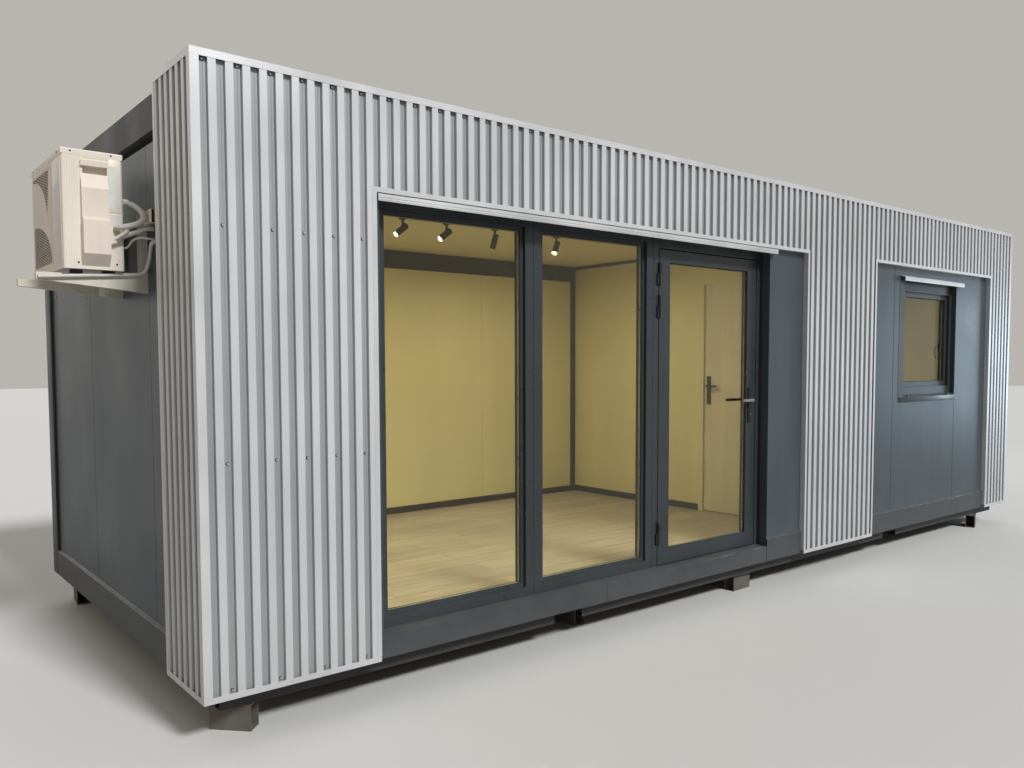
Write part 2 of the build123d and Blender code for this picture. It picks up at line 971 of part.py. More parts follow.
# Entrance door frame, with its threshold and the stop behind the leaf
opening_x = (door_start + door_left_jamb, door_end - door_right_jamb)
opening_z = (rail_top + door_threshold, ring_bottom - door_head)
leaf_x = (opening_x[0] + door_gap, opening_x[1] - door_gap)
leaf_z = (opening_z[0] + door_gap, opening_z[1] - door_gap)
leaf_y = span(frame_front, leaf_thickness)
with BuildPart() as door_frame:
    block((door_start, door_end), (frame_front, frame_back), (rail_top, ring_bottom))
    block(opening_x, (frame_front - past, leaf_y[1] + door_gap), opening_z, mode=Mode.SUBTRACT)
    block(
        (opening_x[0] + door_stop, opening_x[1] - door_stop),
        (leaf_y[1], frame_back + past),
        (opening_z[0], opening_z[1] - door_stop),
        mode=Mode.SUBTRACT,
    )
save(door_frame, "door_frame")

# Entrance door leaf and its pane
door_groove = span(leaf_y[0] + door_glass_setback, door_glass_thickness)
lever_x = leaf_x[1] - lever_backset
lever_z = base + lever_level
with BuildPart() as door_leaf:
    door_faces = (leaf_stile, leaf_stile, leaf_bottom_rail, leaf_top_rail)
    door_sight_x, door_sight_z = framed_opening(leaf_x, leaf_z, door_faces, leaf_y, door_groove)
    rod(
        (lever_x, leaf_y[0] - past, lever_z),
        (0, 1, 0),
        spindle_radius + lever_clearance,
        leaf_thickness + 2 * past,
        Mode.SUBTRACT,
    )
save(door_leaf, "door_leaf")

with BuildPart() as door_glass:
    pane(door_sight_x, door_sight_z, door_groove)
save(door_glass, "door_glass")


def hinge_half(axis_x, axis_y, z, radius, length, reach, seat_y):
    """Half a hinge: a barrel and the leaf of steel that fixes it."""
    rod((axis_x, axis_y, z), (0, 0, 1), radius, length)
    block(
        (min(axis_x, axis_x + reach), max(axis_x, axis_x + reach)),
        (axis_y, seat_y),
        span(z, length),
    )


# Entrance door hinges: lower halves with pins on the frame, upper halves on the leaf
hinge_x = opening_x[0] + door_gap / 2
hinge_y = frame_front - hinge_stand
half_hinge = (hinge_length - hinge_gap) / 2
with BuildPart() as door_hinge_pins:
    for level in hinge_levels:
        z = base + level
        hinge_half(hinge_x, hinge_y, z, hinge_radius, half_hinge, -hinge_reach, frame_front)
        rod((hinge_x, hinge_y, z), (0, 0, 1), pin_radius, hinge_length - pin_short)
    for level in hinge_levels:
        block(
            (opening_x[0], hinge_x + hinge_radius),
            (frame_front - hinge_clearance, frame_front + past),
            span(base + level - past, half_hinge + 2 * past),
            mode=Mode.SUBTRACT,
        )
save(door_hinge_pins, "door_hinge_pins")

with BuildPart() as door_hinge_knuckles:
    for level in hinge_levels:
        z = base + level + half_hinge + hinge_gap
        hinge_half(hinge_x, hinge_y, z, hinge_radius, half_hinge, hinge_reach, frame_front)
        rod(
            (hinge_x, hinge_y, z - past),
            (0, 0, 1),
            pin_radius + lever_clearance,
            half_hinge,
            Mode.SUBTRACT,
        )
    for level in hinge_levels:
        block(
            (hinge_x - hinge_radius, leaf_x[0]),
            (frame_front - hinge_clearance, frame_front + past),
            span(base + level + half_hinge, half_hinge + 2 * past),
            mode=Mode.SUBTRACT,
        )
save(door_hinge_knuckles, "door_hinge_knuckles")

# Entrance door handle: a long plate with a lock cylinder on each face, and levers on one spindle
with BuildPart() as door_plates:
    for face, outward in ((leaf_y[0], -1), (leaf_y[1], 1)):
        y = (min(face, face + outward * plate_thickness), max(face, face + outward * plate_thickness))
        block(
            span(lever_x - plate_width / 2, plate_width),
            y,
            span(lever_z - plate_below, plate_height),
        )
        rod(
            (lever_x, y[0] - past, lever_z),
            (0, 1, 0),
            lever_radius + lever_clearance,
            plate_thickness + 2 * past,
            Mode.SUBTRACT,
        )
        rod(
            (lever_x, face, lever_z - cylinder_drop),
            (0, outward, 0),
            cylinder_radius,
            plate_thickness + cylinder_proud,
        )
save(door_plates, "door_plates")


def lever_pair(axis, pivot, faces, hand, length):
    """Two bent levers on one spindle: faces are the limits of the leaf, hand the way the levers point."""
    line = Vector(*axis)
    centre = Vector(*pivot)
    point = Vector(*hand)
    rod(centre + line * faces[0], line, spindle_radius, faces[1] - faces[0])
    for face, outward in ((faces[0], -1), (faces[1], 1)):
        neck = centre + line * face
        rod(neck, line * outward, lever_radius, plate_thickness + lever_radius)
        level = Plane(origin=neck - Vector(0, 0, lever_radius), x_dir=point, z_dir=(0, 0, 1))
        side = outward if level.y_dir.dot(line) > 0 else -outward
        stand = side * (plate_thickness + lever_stand - 2 * lever_radius)
        with BuildSketch(level) as bar:
            with BuildLine():
                FilletPolyline((0, side * plate_thickness), (0, stand), (length, stand), radius=lever_bend)
            trace(line_width=2 * lever_radius)
        extrude(bar.sketch, amount=2 * lever_radius)


with BuildPart() as door_lever:
    lever_pair((0, 1, 0), (lever_x, 0, lever_z), leaf_y, (-1, 0, 0), lever_length)
save(door_lever, "door_lever")


def drip(nose, seat, top, fall, lip):
    """Outline of a folded drip: a strip that falls outwards, with a lip at its nose."""
    t = drip_sheet
    return [
        (seat, top),
        (seat, top - t),
        (nose + t, top - fall - t),
        (nose + t, top - fall - lip),
        (nose, top - fall - lip),
        (nose, top - fall),
    ]


def cut_off(points, x, y, mode=Mode.SUBTRACT):
    """Takes away what lies between limits, over the full height of an outline."""
    heights = [z for _, z in points]
    block(x, y, (min(heights) - past, max(heights) + past), mode)


# Drips over the glazing and over the small window
long_drip = drip(front - drip_proud, frame_front, ring_bottom - drip_under_ring, drip_fall, drip_lip)
small_drip = drip(front, body_front, small_z[1] + small_drip_rise, drip_fall, drip_lip)
drip_x = (frames_x[0] - drip_past[0], frames_x[1] + drip_past[1])
with BuildPart() as head_drips:
    along_x(long_drip, drip_x)
    for end in ((drip_x[0] - past, frames_x[0] + weld_gap), (frames_x[1] - weld_gap, drip_x[1] + past)):
        cut_off(long_drip, end, (body_front - weld_gap, frame_front + past))
    along_x(small_drip, (small_x[0] - small_drip_past[0], small_x[1] + small_drip_past[1]))
save(head_drips, "head_drips")

# Small window: folded lining and sill, frame, sash and pane
small_frame_y = span(body_front + small_frame_setback, small_frame_depth)
lining_y = (body_front - past, room_front)
lined_x = (small_x[0] + lining_sheet, small_x[1] - lining_sheet)
lined_z = (small_z[0] + lining_sheet, small_z[1] - lining_sheet)
with BuildPart() as window_lining:
    block(small_x, lining_y, small_z)
    block(lined_x, (lining_y[0] - past, lining_y[1] + past), lined_z, mode=Mode.SUBTRACT)
save(window_lining, "window_lining")

with BuildPart() as window_sill:
    along_x(
        drip(body_front - sill_nose, small_frame_y[0], small_z[0] + sill_rise, sill_fall, sill_lip),
        (lined_x[0] + weld_gap, lined_x[1] - weld_gap),
    )
save(window_sill, "window_sill")

sash_x = (lined_x[0] + small_frame_face, lined_x[1] - small_frame_face)
sash_z = (lined_z[0] + small_frame_foot, lined_z[1] - small_frame_head)
with BuildPart() as small_window_frame:
    block(lined_x, small_frame_y, lined_z)
    block(sash_x, (small_frame_y[0] - past, small_frame_y[1] + past), sash_z, mode=Mode.SUBTRACT)
save(small_window_frame, "small_window_frame")

sash_y = (small_frame_y[0] + small_sash_setback, small_frame_y[1])
small_groove = span(small_frame_y[0] + small_glass_setback, small_glass_thickness)
with BuildPart() as small_window_sash:
    small_sight_x, small_sight_z = framed_opening(
        (sash_x[0] + small_sash_gap / 2, sash_x[1] - small_sash_gap / 2),
        (sash_z[0], sash_z[1] - small_sash_gap),
        (small_sash_face,) * 4,
        sash_y,
        small_groove,
    )
save(small_window_sash, "small_window_sash")

with BuildPart() as small_window_glass:
    pane(small_sight_x, small_sight_z, small_groove)
save(small_window_glass, "small_window_glass")

# Handle on the room side of the small window
handle_x = sash_x[1] - small_sash_face / 2
handle_z = (sash_z[0] + sash_z[1]) / 2 - window_handle_drop
plate_x, plate_y, plate_z = window_handle_plate
with BuildPart() as small_window_handle:
    neck_y = span(sash_y[1] + plate_y - past, window_handle_stand)
    block(
        span(handle_x - plate_x / 2, plate_x),
        span(sash_y[1], plate_y),
        span(handle_z - plate_z / 2, plate_z),
    )
    rod((handle_x, neck_y[0], handle_z), (0, 1, 0), window_handle_radius, window_handle_stand)
    block(
        span(handle_x - window_handle_radius, 2 * window_handle_radius),
        span(neck_y[1], 2 * window_handle_radius),
        span(handle_z + window_handle_rise - window_handle_length, window_handle_length),
    )
    fillet(small_window_handle.edges().group_by(Axis.Y)[-1], window_handle_radius / 2)
save(small_window_handle, "small_window_handle")

# Partition, with a doorway near the front wall
latch_y = front + inner_latch
hinge_edge_y = latch_y - inner_leaf_width
inner_opening = (hinge_edge_y - inner_gap, latch_y + inner_gap)
doorway_y = (inner_opening[0] - inner_frame_face, inner_opening[1] + inner_frame_face)
inner_leaf_z = span(floor_level + inner_gap, inner_leaf_height)
inner_head = inner_leaf_z[1] + inner_gap
doorway_top = inner_head + inner_frame_face
with BuildPart() as partition:
    block(part_x, (room_front, doorway_y[0]), (floor_level, ceiling))
    block(part_x, (doorway_y[1], room_back), (floor_level, ceiling))
    block(part_x, (doorway_y[0] + weld_gap, doorway_y[1] - weld_gap), (doorway_top, ceiling))
save(partition, "partition")

inner_leaf_x = (part_x[1] - inner_leaf_thickness, part_x[1])
with BuildPart() as inner_door_frame:
    block(part_x, doorway_y, (floor_level, doorway_top))
    block(
        (part_x[0] + inner_stop_thickness, part_x[1] + past),
        inner_opening,
        (floor_level - past, inner_head),
        mode=Mode.SUBTRACT,
    )
    block(
        (part_x[0] - past, part_x[1] + past),
        (inner_opening[0] + inner_gap + inner_stop, inner_opening[1] - inner_gap - inner_stop),
        (floor_level - past, inner_head - inner_gap - inner_stop),
        mode=Mode.SUBTRACT,
    )
save(inner_door_frame, "inner_door_frame")

inner_lever_y = latch_y - inner_backset
inner_lever_z = base + inner_lever_level
with BuildPart() as inner_door_leaf:
    block(inner_leaf_x, (hinge_edge_y, latch_y), inner_leaf_z)
    rod(
        (inner_leaf_x[0] - past, inner_lever_y, inner_lever_z),
        (1, 0, 0),
        spindle_radius + lever_clearance,
        inner_leaf_thickness + 2 * past,
        Mode.SUBTRACT,
    )
save(inner_door_leaf, "inner_door_leaf")

# Inner door hinges
inner_hinge_x = part_x[1] + inner_hinge_radius + hinge_clearance
inner_hinge_y = hinge_edge_y - inner_gap / 2
half_inner = (inner_hinge_length - hinge_gap) / 2


def inner_hinge_half(z, reach, hollow):
    """Half a hinge of the inner door, on its frame or on its leaf."""
    rod((inner_hinge_x, inner_hinge_y, z), (0, 0, 1), inner_hinge_radius, half_inner)
    block(
        (part_x[1], inner_hinge_x),
        (min(inner_hinge_y, inner_hinge_y + reach), max(inner_hinge_y, inner_hinge_y + reach)),
        span(z, half_inner),
    )
    gap_y = (inner_opening[0], hinge_edge_y)
    gap_x = (part_x[1] - past, part_x[1] + hinge_clearance)
    block(gap_x, gap_y, span(z - past, half_inner + 2 * past), mode=Mode.SUBTRACT)
    if hollow:
        rod(
            (inner_hinge_x, inner_hinge_y, z - past),
            (0, 0, 1),
            pin_radius + lever_clearance,
            half_inner - pin_short,
            Mode.SUBTRACT,
        )


with BuildPart() as inner_hinge_pins:
    for level in inner_hinge_levels:
        z = floor_level + level
        inner_hinge_half(z, -hinge_reach, False)
        rod((inner_hinge_x, inner_hinge_y, z), (0, 0, 1), pin_radius, inner_hinge_length - inner_pin_short)
save(inner_hinge_pins, "inner_hinge_pins")

with BuildPart() as inner_hinge_knuckles:
    for level in inner_hinge_levels:
        inner_hinge_half(floor_level + level + half_inner + hinge_gap, hinge_reach, True)
save(inner_hinge_knuckles, "inner_hinge_knuckles")

# Inner door handle
with BuildPart() as inner_door_plates:
    for face, outward in ((inner_leaf_x[0], -1), (inner_leaf_x[1], 1)):
        x = (min(face, face + outward * plate_thickness), max(face, face + outward * plate_thickness))
        block(
            x,
            span(inner_lever_y - inner_plate_width / 2, inner_plate_width),
            span(inner_lever_z - plate_below, plate_height),
        )
        rod(
            (x[0] - past, inner_lever_y, inner_lever_z),
            (1, 0, 0),
            lever_radius + lever_clearance,
            plate_thickness + 2 * past,
            Mode.SUBTRACT,
        )
save(inner_door_plates, "inner_door_plates")

with BuildPart() as inner_door_lever:
    lever_pair((1, 0, 0), (0, inner_lever_y, inner_lever_z), inner_leaf_x, (0, -1, 0), inner_lever_length)
save(inner_door_lever, "inner_door_lever")

# Skirting along the back wall and the partition, bent round the inner corner
skirt_back = room_back
skirt_side = part_x[0]
bend = skirting_round
with BuildPart() as skirting:
    with BuildSketch(Plane.XY.offset(floor_level)):
        with BuildLine():
            Polyline(
                (skirt_side - bend, skirt_back),
                (room_left, skirt_back),
                (room_left, skirt_back - skirting_thickness),
                (skirt_side - bend, skirt_back - skirting_thickness),
            )
            RadiusArc(
                (skirt_side - bend, skirt_back - skirting_thickness),
                (skirt_side - skirting_thickness, skirt_back - bend),
                bend - skirting_thickness,
            )
            Polyline(
                (skirt_side - skirting_thickness, skirt_back - bend),
                (skirt_side - skirting_thickness, doorway_y[1]),
                (skirt_side, doorway_y[1]),
                (skirt_side, skirt_back - bend),
            )
            RadiusArc((skirt_side, skirt_back - bend), (skirt_side - bend, skirt_back), -bend)
        make_face()
    extrude(amount=skirting_height)
save(skirting, "skirting")

# Trim along the head of the partition
with BuildPart() as partition_trim:
    block(
        (part_x[0] - trim_strip_thickness, part_x[0]),
        (room_front, room_back),
        (ceiling - trim_strip, ceiling),
    )
save(partition_trim, "partition_trim")

# Spotlights on the ceiling behind the glazing
with BuildPart() as spotlights:
    for place, (lean, forward) in zip(spot_places, spot_aims):
        x = left + place
        y = front + spot_setback
        elbow = ceiling - spot_base_height - spot_arm_length
        rod((x, y, ceiling), (0, 0, -1), spot_base_radius, spot_base_height)
        block(
            span(x - spot_arm / 2, spot_arm),
            span(y - spot_arm / 2, spot_arm),
            (elbow, ceiling - spot_base_height),
        )
        sideways = math.tan(math.radians(lean))
        beam = Vector(sideways, -math.tan(math.radians(forward)), -1).normalized()
        rear = Vector(x, y, elbow) - beam * spot_behind
        rod(rear, beam, spot_radius, spot_length)
        mouth = rear + beam * (spot_length - spot_rim_depth)
        rod(mouth, beam, spot_radius - spot_rim, 2 * spot_rim_depth, Mode.SUBTRACT)
save(spotlights, "spotlights")

# Cooling unit: casing with a recess behind the guard
unit_x = (left - unit_clear - unit_depth, left - unit_clear)
unit_y = span(front + unit_start, unit_width)
unit_z = span(base + unit_low, unit_height)
guard_y = span(unit_y[1] - guard_width - guard_inset, guard_width)
guard_z = span(unit_z[0] + guard_inset, guard_height)
cover_x = (left - cover_start - cover_width, left - cover_start)
with BuildPart() as unit_casing:
    block(unit_x, unit_y, (unit_z[0], unit_z[1] - unit_lid))
    fillet(unit_casing.edges().filter_by(Axis.Z), unit_corner)
    block(
        (unit_x[0] - unit_lid_proud, unit_x[1] + unit_lid_proud),
        (unit_y[0] - unit_lid_proud, unit_y[1] + unit_lid_proud),
        (unit_z[1] - unit_lid - unit_lid_lap, unit_z[1]),
    )
    fillet(unit_casing.edges().group_by(Axis.Z)[-1], unit_lid_round)
    block(
        (unit_x[0] - unit_lid_proud - past, unit_x[0] + guard_depth),
        guard_y,
        guard_z,
        mode=Mode.SUBTRACT,
    )
    block(
        cover_x,
        (unit_y[0] - past, unit_y[0] + pocket_depth),
        (base + pocket_low, base + cover_lip_low),
        mode=Mode.SUBTRACT,
    )
save(unit_casing, "unit_casing")

# Guard over the recess: a frame with bars
with BuildPart() as unit_guard:
    inside_y = (guard_y[0] + weld_gap, guard_y[1] - weld_gap)
    inside_z = (guard_z[0] + weld_gap, guard_z[1] - weld_gap)
    sheet_x = span(unit_x[0], guard_sheet)
    block(sheet_x, inside_y, inside_z)
    block(
        (sheet_x[0] - past, sheet_x[1] + past),
        (inside_y[0] + guard_rim, inside_y[1] - guard_rim),
        (inside_z[0] + guard_rim, inside_z[1] - guard_rim),
        mode=Mode.SUBTRACT,
    )
    for step in range(1, guard_bars):
        z = inside_z[0] + step * (inside_z[1] - inside_z[0]) / guard_bars
        across = (inside_y[0] + guard_rim / 2, inside_y[1] - guard_rim / 2)
        block(sheet_x, across, span(z - guard_bar / 2, guard_bar))
save(unit_guard, "unit_guard")

# Cover over the terminals, on the end of the casing: a lip over the hand pocket and a stepped hood below it
with BuildPart() as unit_cover:
    along_x([(unit_y[0] - proud, base + level) for proud, level in cover_profile], cover_x)
    block(
        cover_x,
        (unit_y[0] - cover_lip_proud, unit_y[0]),
        (base + cover_lip_low, base + cover_lip_top),
    )
save(unit_cover, "unit_cover")

# Wall brackets: an upright on the wall, a tapered arm and two rubber feet under the casing
arm_top = unit_z[0] - unit_foot_height
with BuildPart() as unit_brackets:
    for place in bracket_places:
        y = span(front + place - bracket_width / 2, bracket_width)
        along_y(
            [
                (body_left, arm_top + bracket_upright),
                (body_left - bracket_plate, arm_top + bracket_upright),
                (body_left - bracket_plate, arm_top),
                (body_left - bracket_reach, arm_top),
                (body_left - bracket_reach, arm_top - bracket_tip),
                (body_left, arm_top - bracket_root),
            ],
            y,
        )
save(unit_brackets, "unit_brackets")

with BuildPart() as unit_feet:
    for place in bracket_places:
        y = span(front + place - bracket_width / 2, bracket_width)
        for x in (unit_x[0] + foot_inset, unit_x[1] - foot_inset - unit_foot_width):
            block(span(x, unit_foot_width), y, (arm_top, unit_z[0]))
save(unit_feet, "unit_feet")

# Insulated pipes and a cable between the casing and the wall, and the duct through which the pipes go in
with BuildPart() as unit_pipes:
    tube(thick_pipe_points, thick_pipe_radius)
    tube(thin_pipe_points, thin_pipe_radius)
    tube(cable_points, cable_radius)
    duct_x = (body_left - duct_proud, body_left)
    low_y, high_y = duct_y
    low_z, high_z = duct_z
    block(duct_x, (front + low_y, front + high_y), (base + low_z, base + high_z))
    block(
        (duct_x[0] + duct_sheet, duct_x[1] - duct_sheet),
        (front + low_y - past, front + high_y - duct_sheet),
        (base + low_z + duct_sheet, base + high_z - duct_sheet),
        mode=Mode.SUBTRACT,
    )
save(unit_pipes, "unit_pipes")

# Drain hose from the wall down to the near bracket and along the side of its arm
hose_y = bracket_places[0] - bracket_width / 2 - hose_radius - weld_gap
with BuildPart() as drain_hose:
    tube(hose_points + tuple((x, hose_y, z) for x, z in hose_rest), hose_radius)
save(drain_hose, "drain_hose")
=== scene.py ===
from math import cos, radians, sin, tan

import bmesh
import bpy
from mathutils import Matrix, Vector


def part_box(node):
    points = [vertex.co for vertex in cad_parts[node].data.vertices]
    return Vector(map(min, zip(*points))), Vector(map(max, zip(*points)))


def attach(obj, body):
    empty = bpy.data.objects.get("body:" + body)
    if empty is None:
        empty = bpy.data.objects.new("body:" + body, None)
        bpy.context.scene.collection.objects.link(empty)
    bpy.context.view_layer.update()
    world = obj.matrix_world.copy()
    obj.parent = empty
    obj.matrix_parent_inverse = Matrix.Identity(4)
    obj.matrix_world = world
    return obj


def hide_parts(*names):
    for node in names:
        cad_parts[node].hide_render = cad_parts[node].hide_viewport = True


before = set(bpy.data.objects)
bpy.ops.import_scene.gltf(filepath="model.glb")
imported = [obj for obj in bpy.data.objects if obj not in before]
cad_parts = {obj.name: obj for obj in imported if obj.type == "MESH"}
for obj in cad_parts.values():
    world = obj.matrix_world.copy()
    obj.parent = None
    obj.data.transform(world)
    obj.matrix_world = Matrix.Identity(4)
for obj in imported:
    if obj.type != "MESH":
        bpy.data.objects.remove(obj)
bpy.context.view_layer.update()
scene = bpy.context.scene

# Camera: eye height, a little outside the left end of the front, as the photograph was taken.
# The lens is a plain wide one, shifted down by a few hundredths of the picture's width.
camera_data = bpy.data.cameras.new("camera")
camera_data.lens = 30
camera_data.sensor_width = 36
camera_data.shift_y = 0.0261
camera = bpy.data.objects.new("camera", camera_data)
camera.location = (-5.04825, -5.02325, 1.628)
camera.rotation_euler = (radians(86.79), radians(0.16), radians(-39.19))
scene.collection.objects.link(camera)
scene.camera = camera


# Support blocks: short offcuts of square steel tube, laid on the ground under the base frame.
# Raw mill steel with brown rust and grey scale, sawn at the ends and never painted.
def add_node(tree, kind, settings=None, **inputs):
    """A shader node, with its settings and the values or links of its named inputs."""
    made = tree.nodes.new("ShaderNode" + kind)
    for name, value in (settings or {}).items():
        setattr(made, name, value)
    for name, value in inputs.items():
        socket = made.inputs[name.replace("_", " ")]
        if isinstance(value, bpy.types.NodeSocket):
            tree.links.new(value, socket)
        else:
            socket.default_value = value
    return made


def mixed(tree, share, first, second):
    """The colour between two colours, by a share, on the mix node's sockets for colours."""
    made = add_node(tree, "Mix", {"data_type": "RGBA"})
    share_socket, first_socket, second_socket, result_socket = 0, 6, 7, 2
    for place, value in ((share_socket, share), (first_socket, first), (second_socket, second)):
        if isinstance(value, bpy.types.NodeSocket):
            tree.links.new(value, made.inputs[place])
        else:
            made.inputs[place].default_value = value
    return made.outputs[result_socket]


def ranged(tree, value, old, new):
    """A value carried from one range to another, and kept inside it."""
    low, high = old
    start, end = new
    made = add_node(tree, "MapRange", Value=value, From_Min=low, From_Max=high, To_Min=start, To_Max=end)
    return made.outputs[0]


def maths(tree, operation, first, second):
    """Two values brought together."""
    made = add_node(tree, "Math", {"operation": operation})
    for place, value in enumerate((first, second)):
        if isinstance(value, bpy.types.NodeSocket):
            tree.links.new(value, made.inputs[place])
        else:
            made.inputs[place].default_value = value
    return made.outputs[0]


def stretched(tree, vector, scale):
    """Coordinates drawn out or pressed together along each axis."""
    return add_node(tree, "Mapping", Vector=vector, Scale=scale).outputs[0]


def new_group(name, inputs, outputs):
    """An empty shader group with named sockets."""
    group = bpy.data.node_groups.new(name, "ShaderNodeTree")
    for word, kind in inputs:
        group.interface.new_socket(word, in_out="INPUT", socket_type="NodeSocket" + kind)
    for word in outputs:
        group.interface.new_socket(word, in_out="OUTPUT", socket_type="NodeSocketFloat")
    return group, group.nodes.new("NodeGroupInput").outputs, group.nodes.new("NodeGroupOutput").inputs


# Uneven tone of any coated or raw surface: broad patches, long upright streaks and fine grain.
# Sheet, paint, timber and plastic all show some of it, and each finish sets how much.
marks_group, given, wanted = new_group(
    "surface_marks",
    (("Place", "Vector"), ("Patch", "Float"), ("Streak", "Float"), ("Grain", "Float")),
    ("Patches", "Streaks", "Grains"),
)
patches = add_node(marks_group, "TexNoise", Vector=given["Place"], Scale=given["Patch"], Detail=4.0)
upright = stretched(marks_group, given["Place"], (1, 1, 0.05))
streaks = add_node(marks_group, "TexNoise", Vector=upright, Scale=given["Streak"], Detail=3.0)
grains = add_node(marks_group, "TexNoise", Vector=given["Place"], Scale=given["Grain"], Detail=2.0)
for source, word in ((patches, "Patches"), (streaks, "Streaks"), (grains, "Grains")):
    marks_group.links.new(source.outputs["Fac"], wanted[word])

# Dust and dirt: dust settles on faces that look up, and dirt splashes on what is near the ground.
# More of it lies on the roof and along the foot of the walls than elsewhere.
dust_group, given, wanted = new_group("dust", (("Place", "Vector"), ("Normal", "Vector")), ("Dust",))
facing = add_node(dust_group, "SeparateXYZ", Vector=given["Normal"]).outputs["Z"]
height = add_node(dust_group, "SeparateXYZ", Vector=given["Place"]).outputs["Z"]
cloud = add_node(dust_group, "TexNoise", Vector=given["Place"], Scale=6.0, Detail=6.0).outputs["Fac"]
lying = ranged(dust_group, facing, (0.3, 1.0), (0.0, 1.0))
splashed = ranged(dust_group, height, (0.55, 0.05), (0.0, 1.0))
reach = maths(dust_group, "MAXIMUM", lying, splashed)
dust_group.links.new(maths(dust_group, "MULTIPLY", reach, cloud), wanted["Dust"])

DUST = (0.38, 0.35, 0.3, 1)


class Finish:
    """A coated or raw surface: its own tone, dusted, with fine relief. Later nodes join its tree."""

    def __init__(
        self, name, colour, roughness, metallic=0.0, patch=(1.7, 0.1), streak=(14.0, 0.06),
        grain=(500.0, 0.00004), dust=0.3, gloss=0.08,
    ):
        patch_scale, patch_swing = patch
        streak_scale, streak_swing = streak
        grain_scale, grain_depth = grain
        self.material = bpy.data.materials.new(name)
        self.material.use_nodes = True
        self.tree = self.material.node_tree
        self.shader = self.tree.nodes["Principled BSDF"]
        self.place = add_node(self.tree, "TexCoord").outputs["Object"]
        self.normal = add_node(self.tree, "NewGeometry").outputs["Normal"]
        self.marks = add_node(
            self.tree, "Group", {"node_tree": marks_group},
            Place=self.place, Patch=patch_scale, Streak=streak_scale, Grain=grain_scale,
        ).outputs
        self.dust = add_node(
            self.tree, "Group", {"node_tree": dust_group}, Place=self.place, Normal=self.normal
        ).outputs["Dust"]
        patchy = ranged(self.tree, self.marks["Patches"], (0.3, 0.7), (1 - patch_swing, 1 + patch_swing))
        streaky = ranged(self.tree, self.marks["Streaks"], (0.3, 0.7), (1 - streak_swing, 1 + streak_swing))
        tone = maths(self.tree, "MULTIPLY", patchy, streaky)
        self.toned = add_node(self.tree, "HueSaturation", Color=(*colour, 1), Value=tone)
        self.dusty = maths(self.tree, "MULTIPLY", self.dust, dust)
        self.paint(self.toned.outputs[0])
        rough_ends = (roughness - gloss, roughness + gloss)
        rough = ranged(self.tree, self.marks["Patches"], (0.3, 0.7), rough_ends)
        self.tree.links.new(maths(self.tree, "ADD", rough, self.dusty), self.shader.inputs["Roughness"])
        self.shader.inputs["Metallic"].default_value = metallic
        if grain_depth:
            self.relief(self.marks["Grains"], grain_depth)

    def paint(self, colour):
        """Gives the surface its colour, under its dust."""
        self.tree.links.new(mixed(self.tree, self.dusty, colour, DUST), self.shader.inputs["Base Color"])

    def relief(self, height, depth):
        """Adds relief of a depth in metres over the relief that is there."""
        bump = add_node(self.tree, "Bump", Height=height, Strength=1.0, Distance=depth)
        before = self.shader.inputs["Normal"].links
        if before:
            self.tree.links.new(before[0].from_socket, bump.inputs["Normal"])
        self.tree.links.new(bump.outputs[0], self.shader.inputs["Normal"])


def finish_nodes(finish, *names):
    """Gives carried-over parts their finish."""
    for name in names:
        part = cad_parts[name]
        part.data.materials.clear()
        part.data.materials.append(finish.material)


def add_bar(shape, low, high):
    """A straight bar between two corners."""
    low, high = Vector(low), Vector(high)
    place = Matrix.Translation((low + high) / 2) @ Matrix.Diagonal((high - low).to_4d())
    return bmesh.ops.create_cube(shape, size=1, matrix=place)["verts"]


def finish_piece(name, shape, finish, body="cabin", smooth=35):
    """Makes the piece from its shape, in its finish, and fixes it to its body."""
    bmesh.ops.recalc_face_normals(shape, faces=shape.faces[:])
    mesh = bpy.data.meshes.new(name)
    shape.to_mesh(mesh)
    shape.free()
    mesh.shade_smooth()
    mesh.set_sharp_from_angle(angle=radians(smooth))
    mesh.materials.append(finish.material)
    piece = bpy.data.objects.new(name, mesh)
    scene.collection.objects.link(piece)
    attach(piece, body)
    return piece


raw_steel = Finish("raw_steel", (0.11, 0.1, 0.095), 0.55, metallic=0.5, patch=(9.0, 0.35), dust=0.5)
rust = add_node(raw_steel.tree, "TexNoise", Vector=raw_steel.place, Scale=16.0, Detail=8.0).outputs["Fac"]
rusty = ranged(raw_steel.tree, rust, (0.52, 0.66), (0.0, 0.85))
raw_steel.paint(mixed(raw_steel.tree, rusty, raw_steel.toned.outputs[0], (0.16, 0.075, 0.035, 1)))
raw_steel.relief(rust, 0.0012)
finish_nodes(raw_steel, "support_blocks")

# Block ends: thin plates that close the mouths of two of the offcuts, welded just inside them.
# Places here and further on are taken from the corner of the front cladding, inside its trims' sheet.
TRIM_SHEET = 0.0015
trims_low, trims_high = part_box("cladding_trims")
clad_left, clad_right = trims_low.x + TRIM_SHEET, trims_high.x - TRIM_SHEET
clad_front = trims_low.y + TRIM_SHEET
clad_foot = trims_low.z + TRIM_SHEET
PLATE_HALF_WIDTH, PLATE_FOOT = 0.0354, 0.0062
plate_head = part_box("support_blocks")[1].z - PLATE_FOOT
shape = bmesh.new()
for x, y, turn in ((clad_right - 0.495, clad_front + 0.118, 20), (clad_left + 0.16, 1.34275, 84)):
    plate = add_bar(shape, (0.09, -PLATE_HALF_WIDTH, PLATE_FOOT), (0.093, PLATE_HALF_WIDTH, plate_head))
    place = Matrix.Translation((x, y, 0)) @ Matrix.Rotation(radians(turn), 4, "Z")
    bmesh.ops.transform(shape, matrix=place, verts=plate)
finish_piece("block_ends", shape, raw_steel)

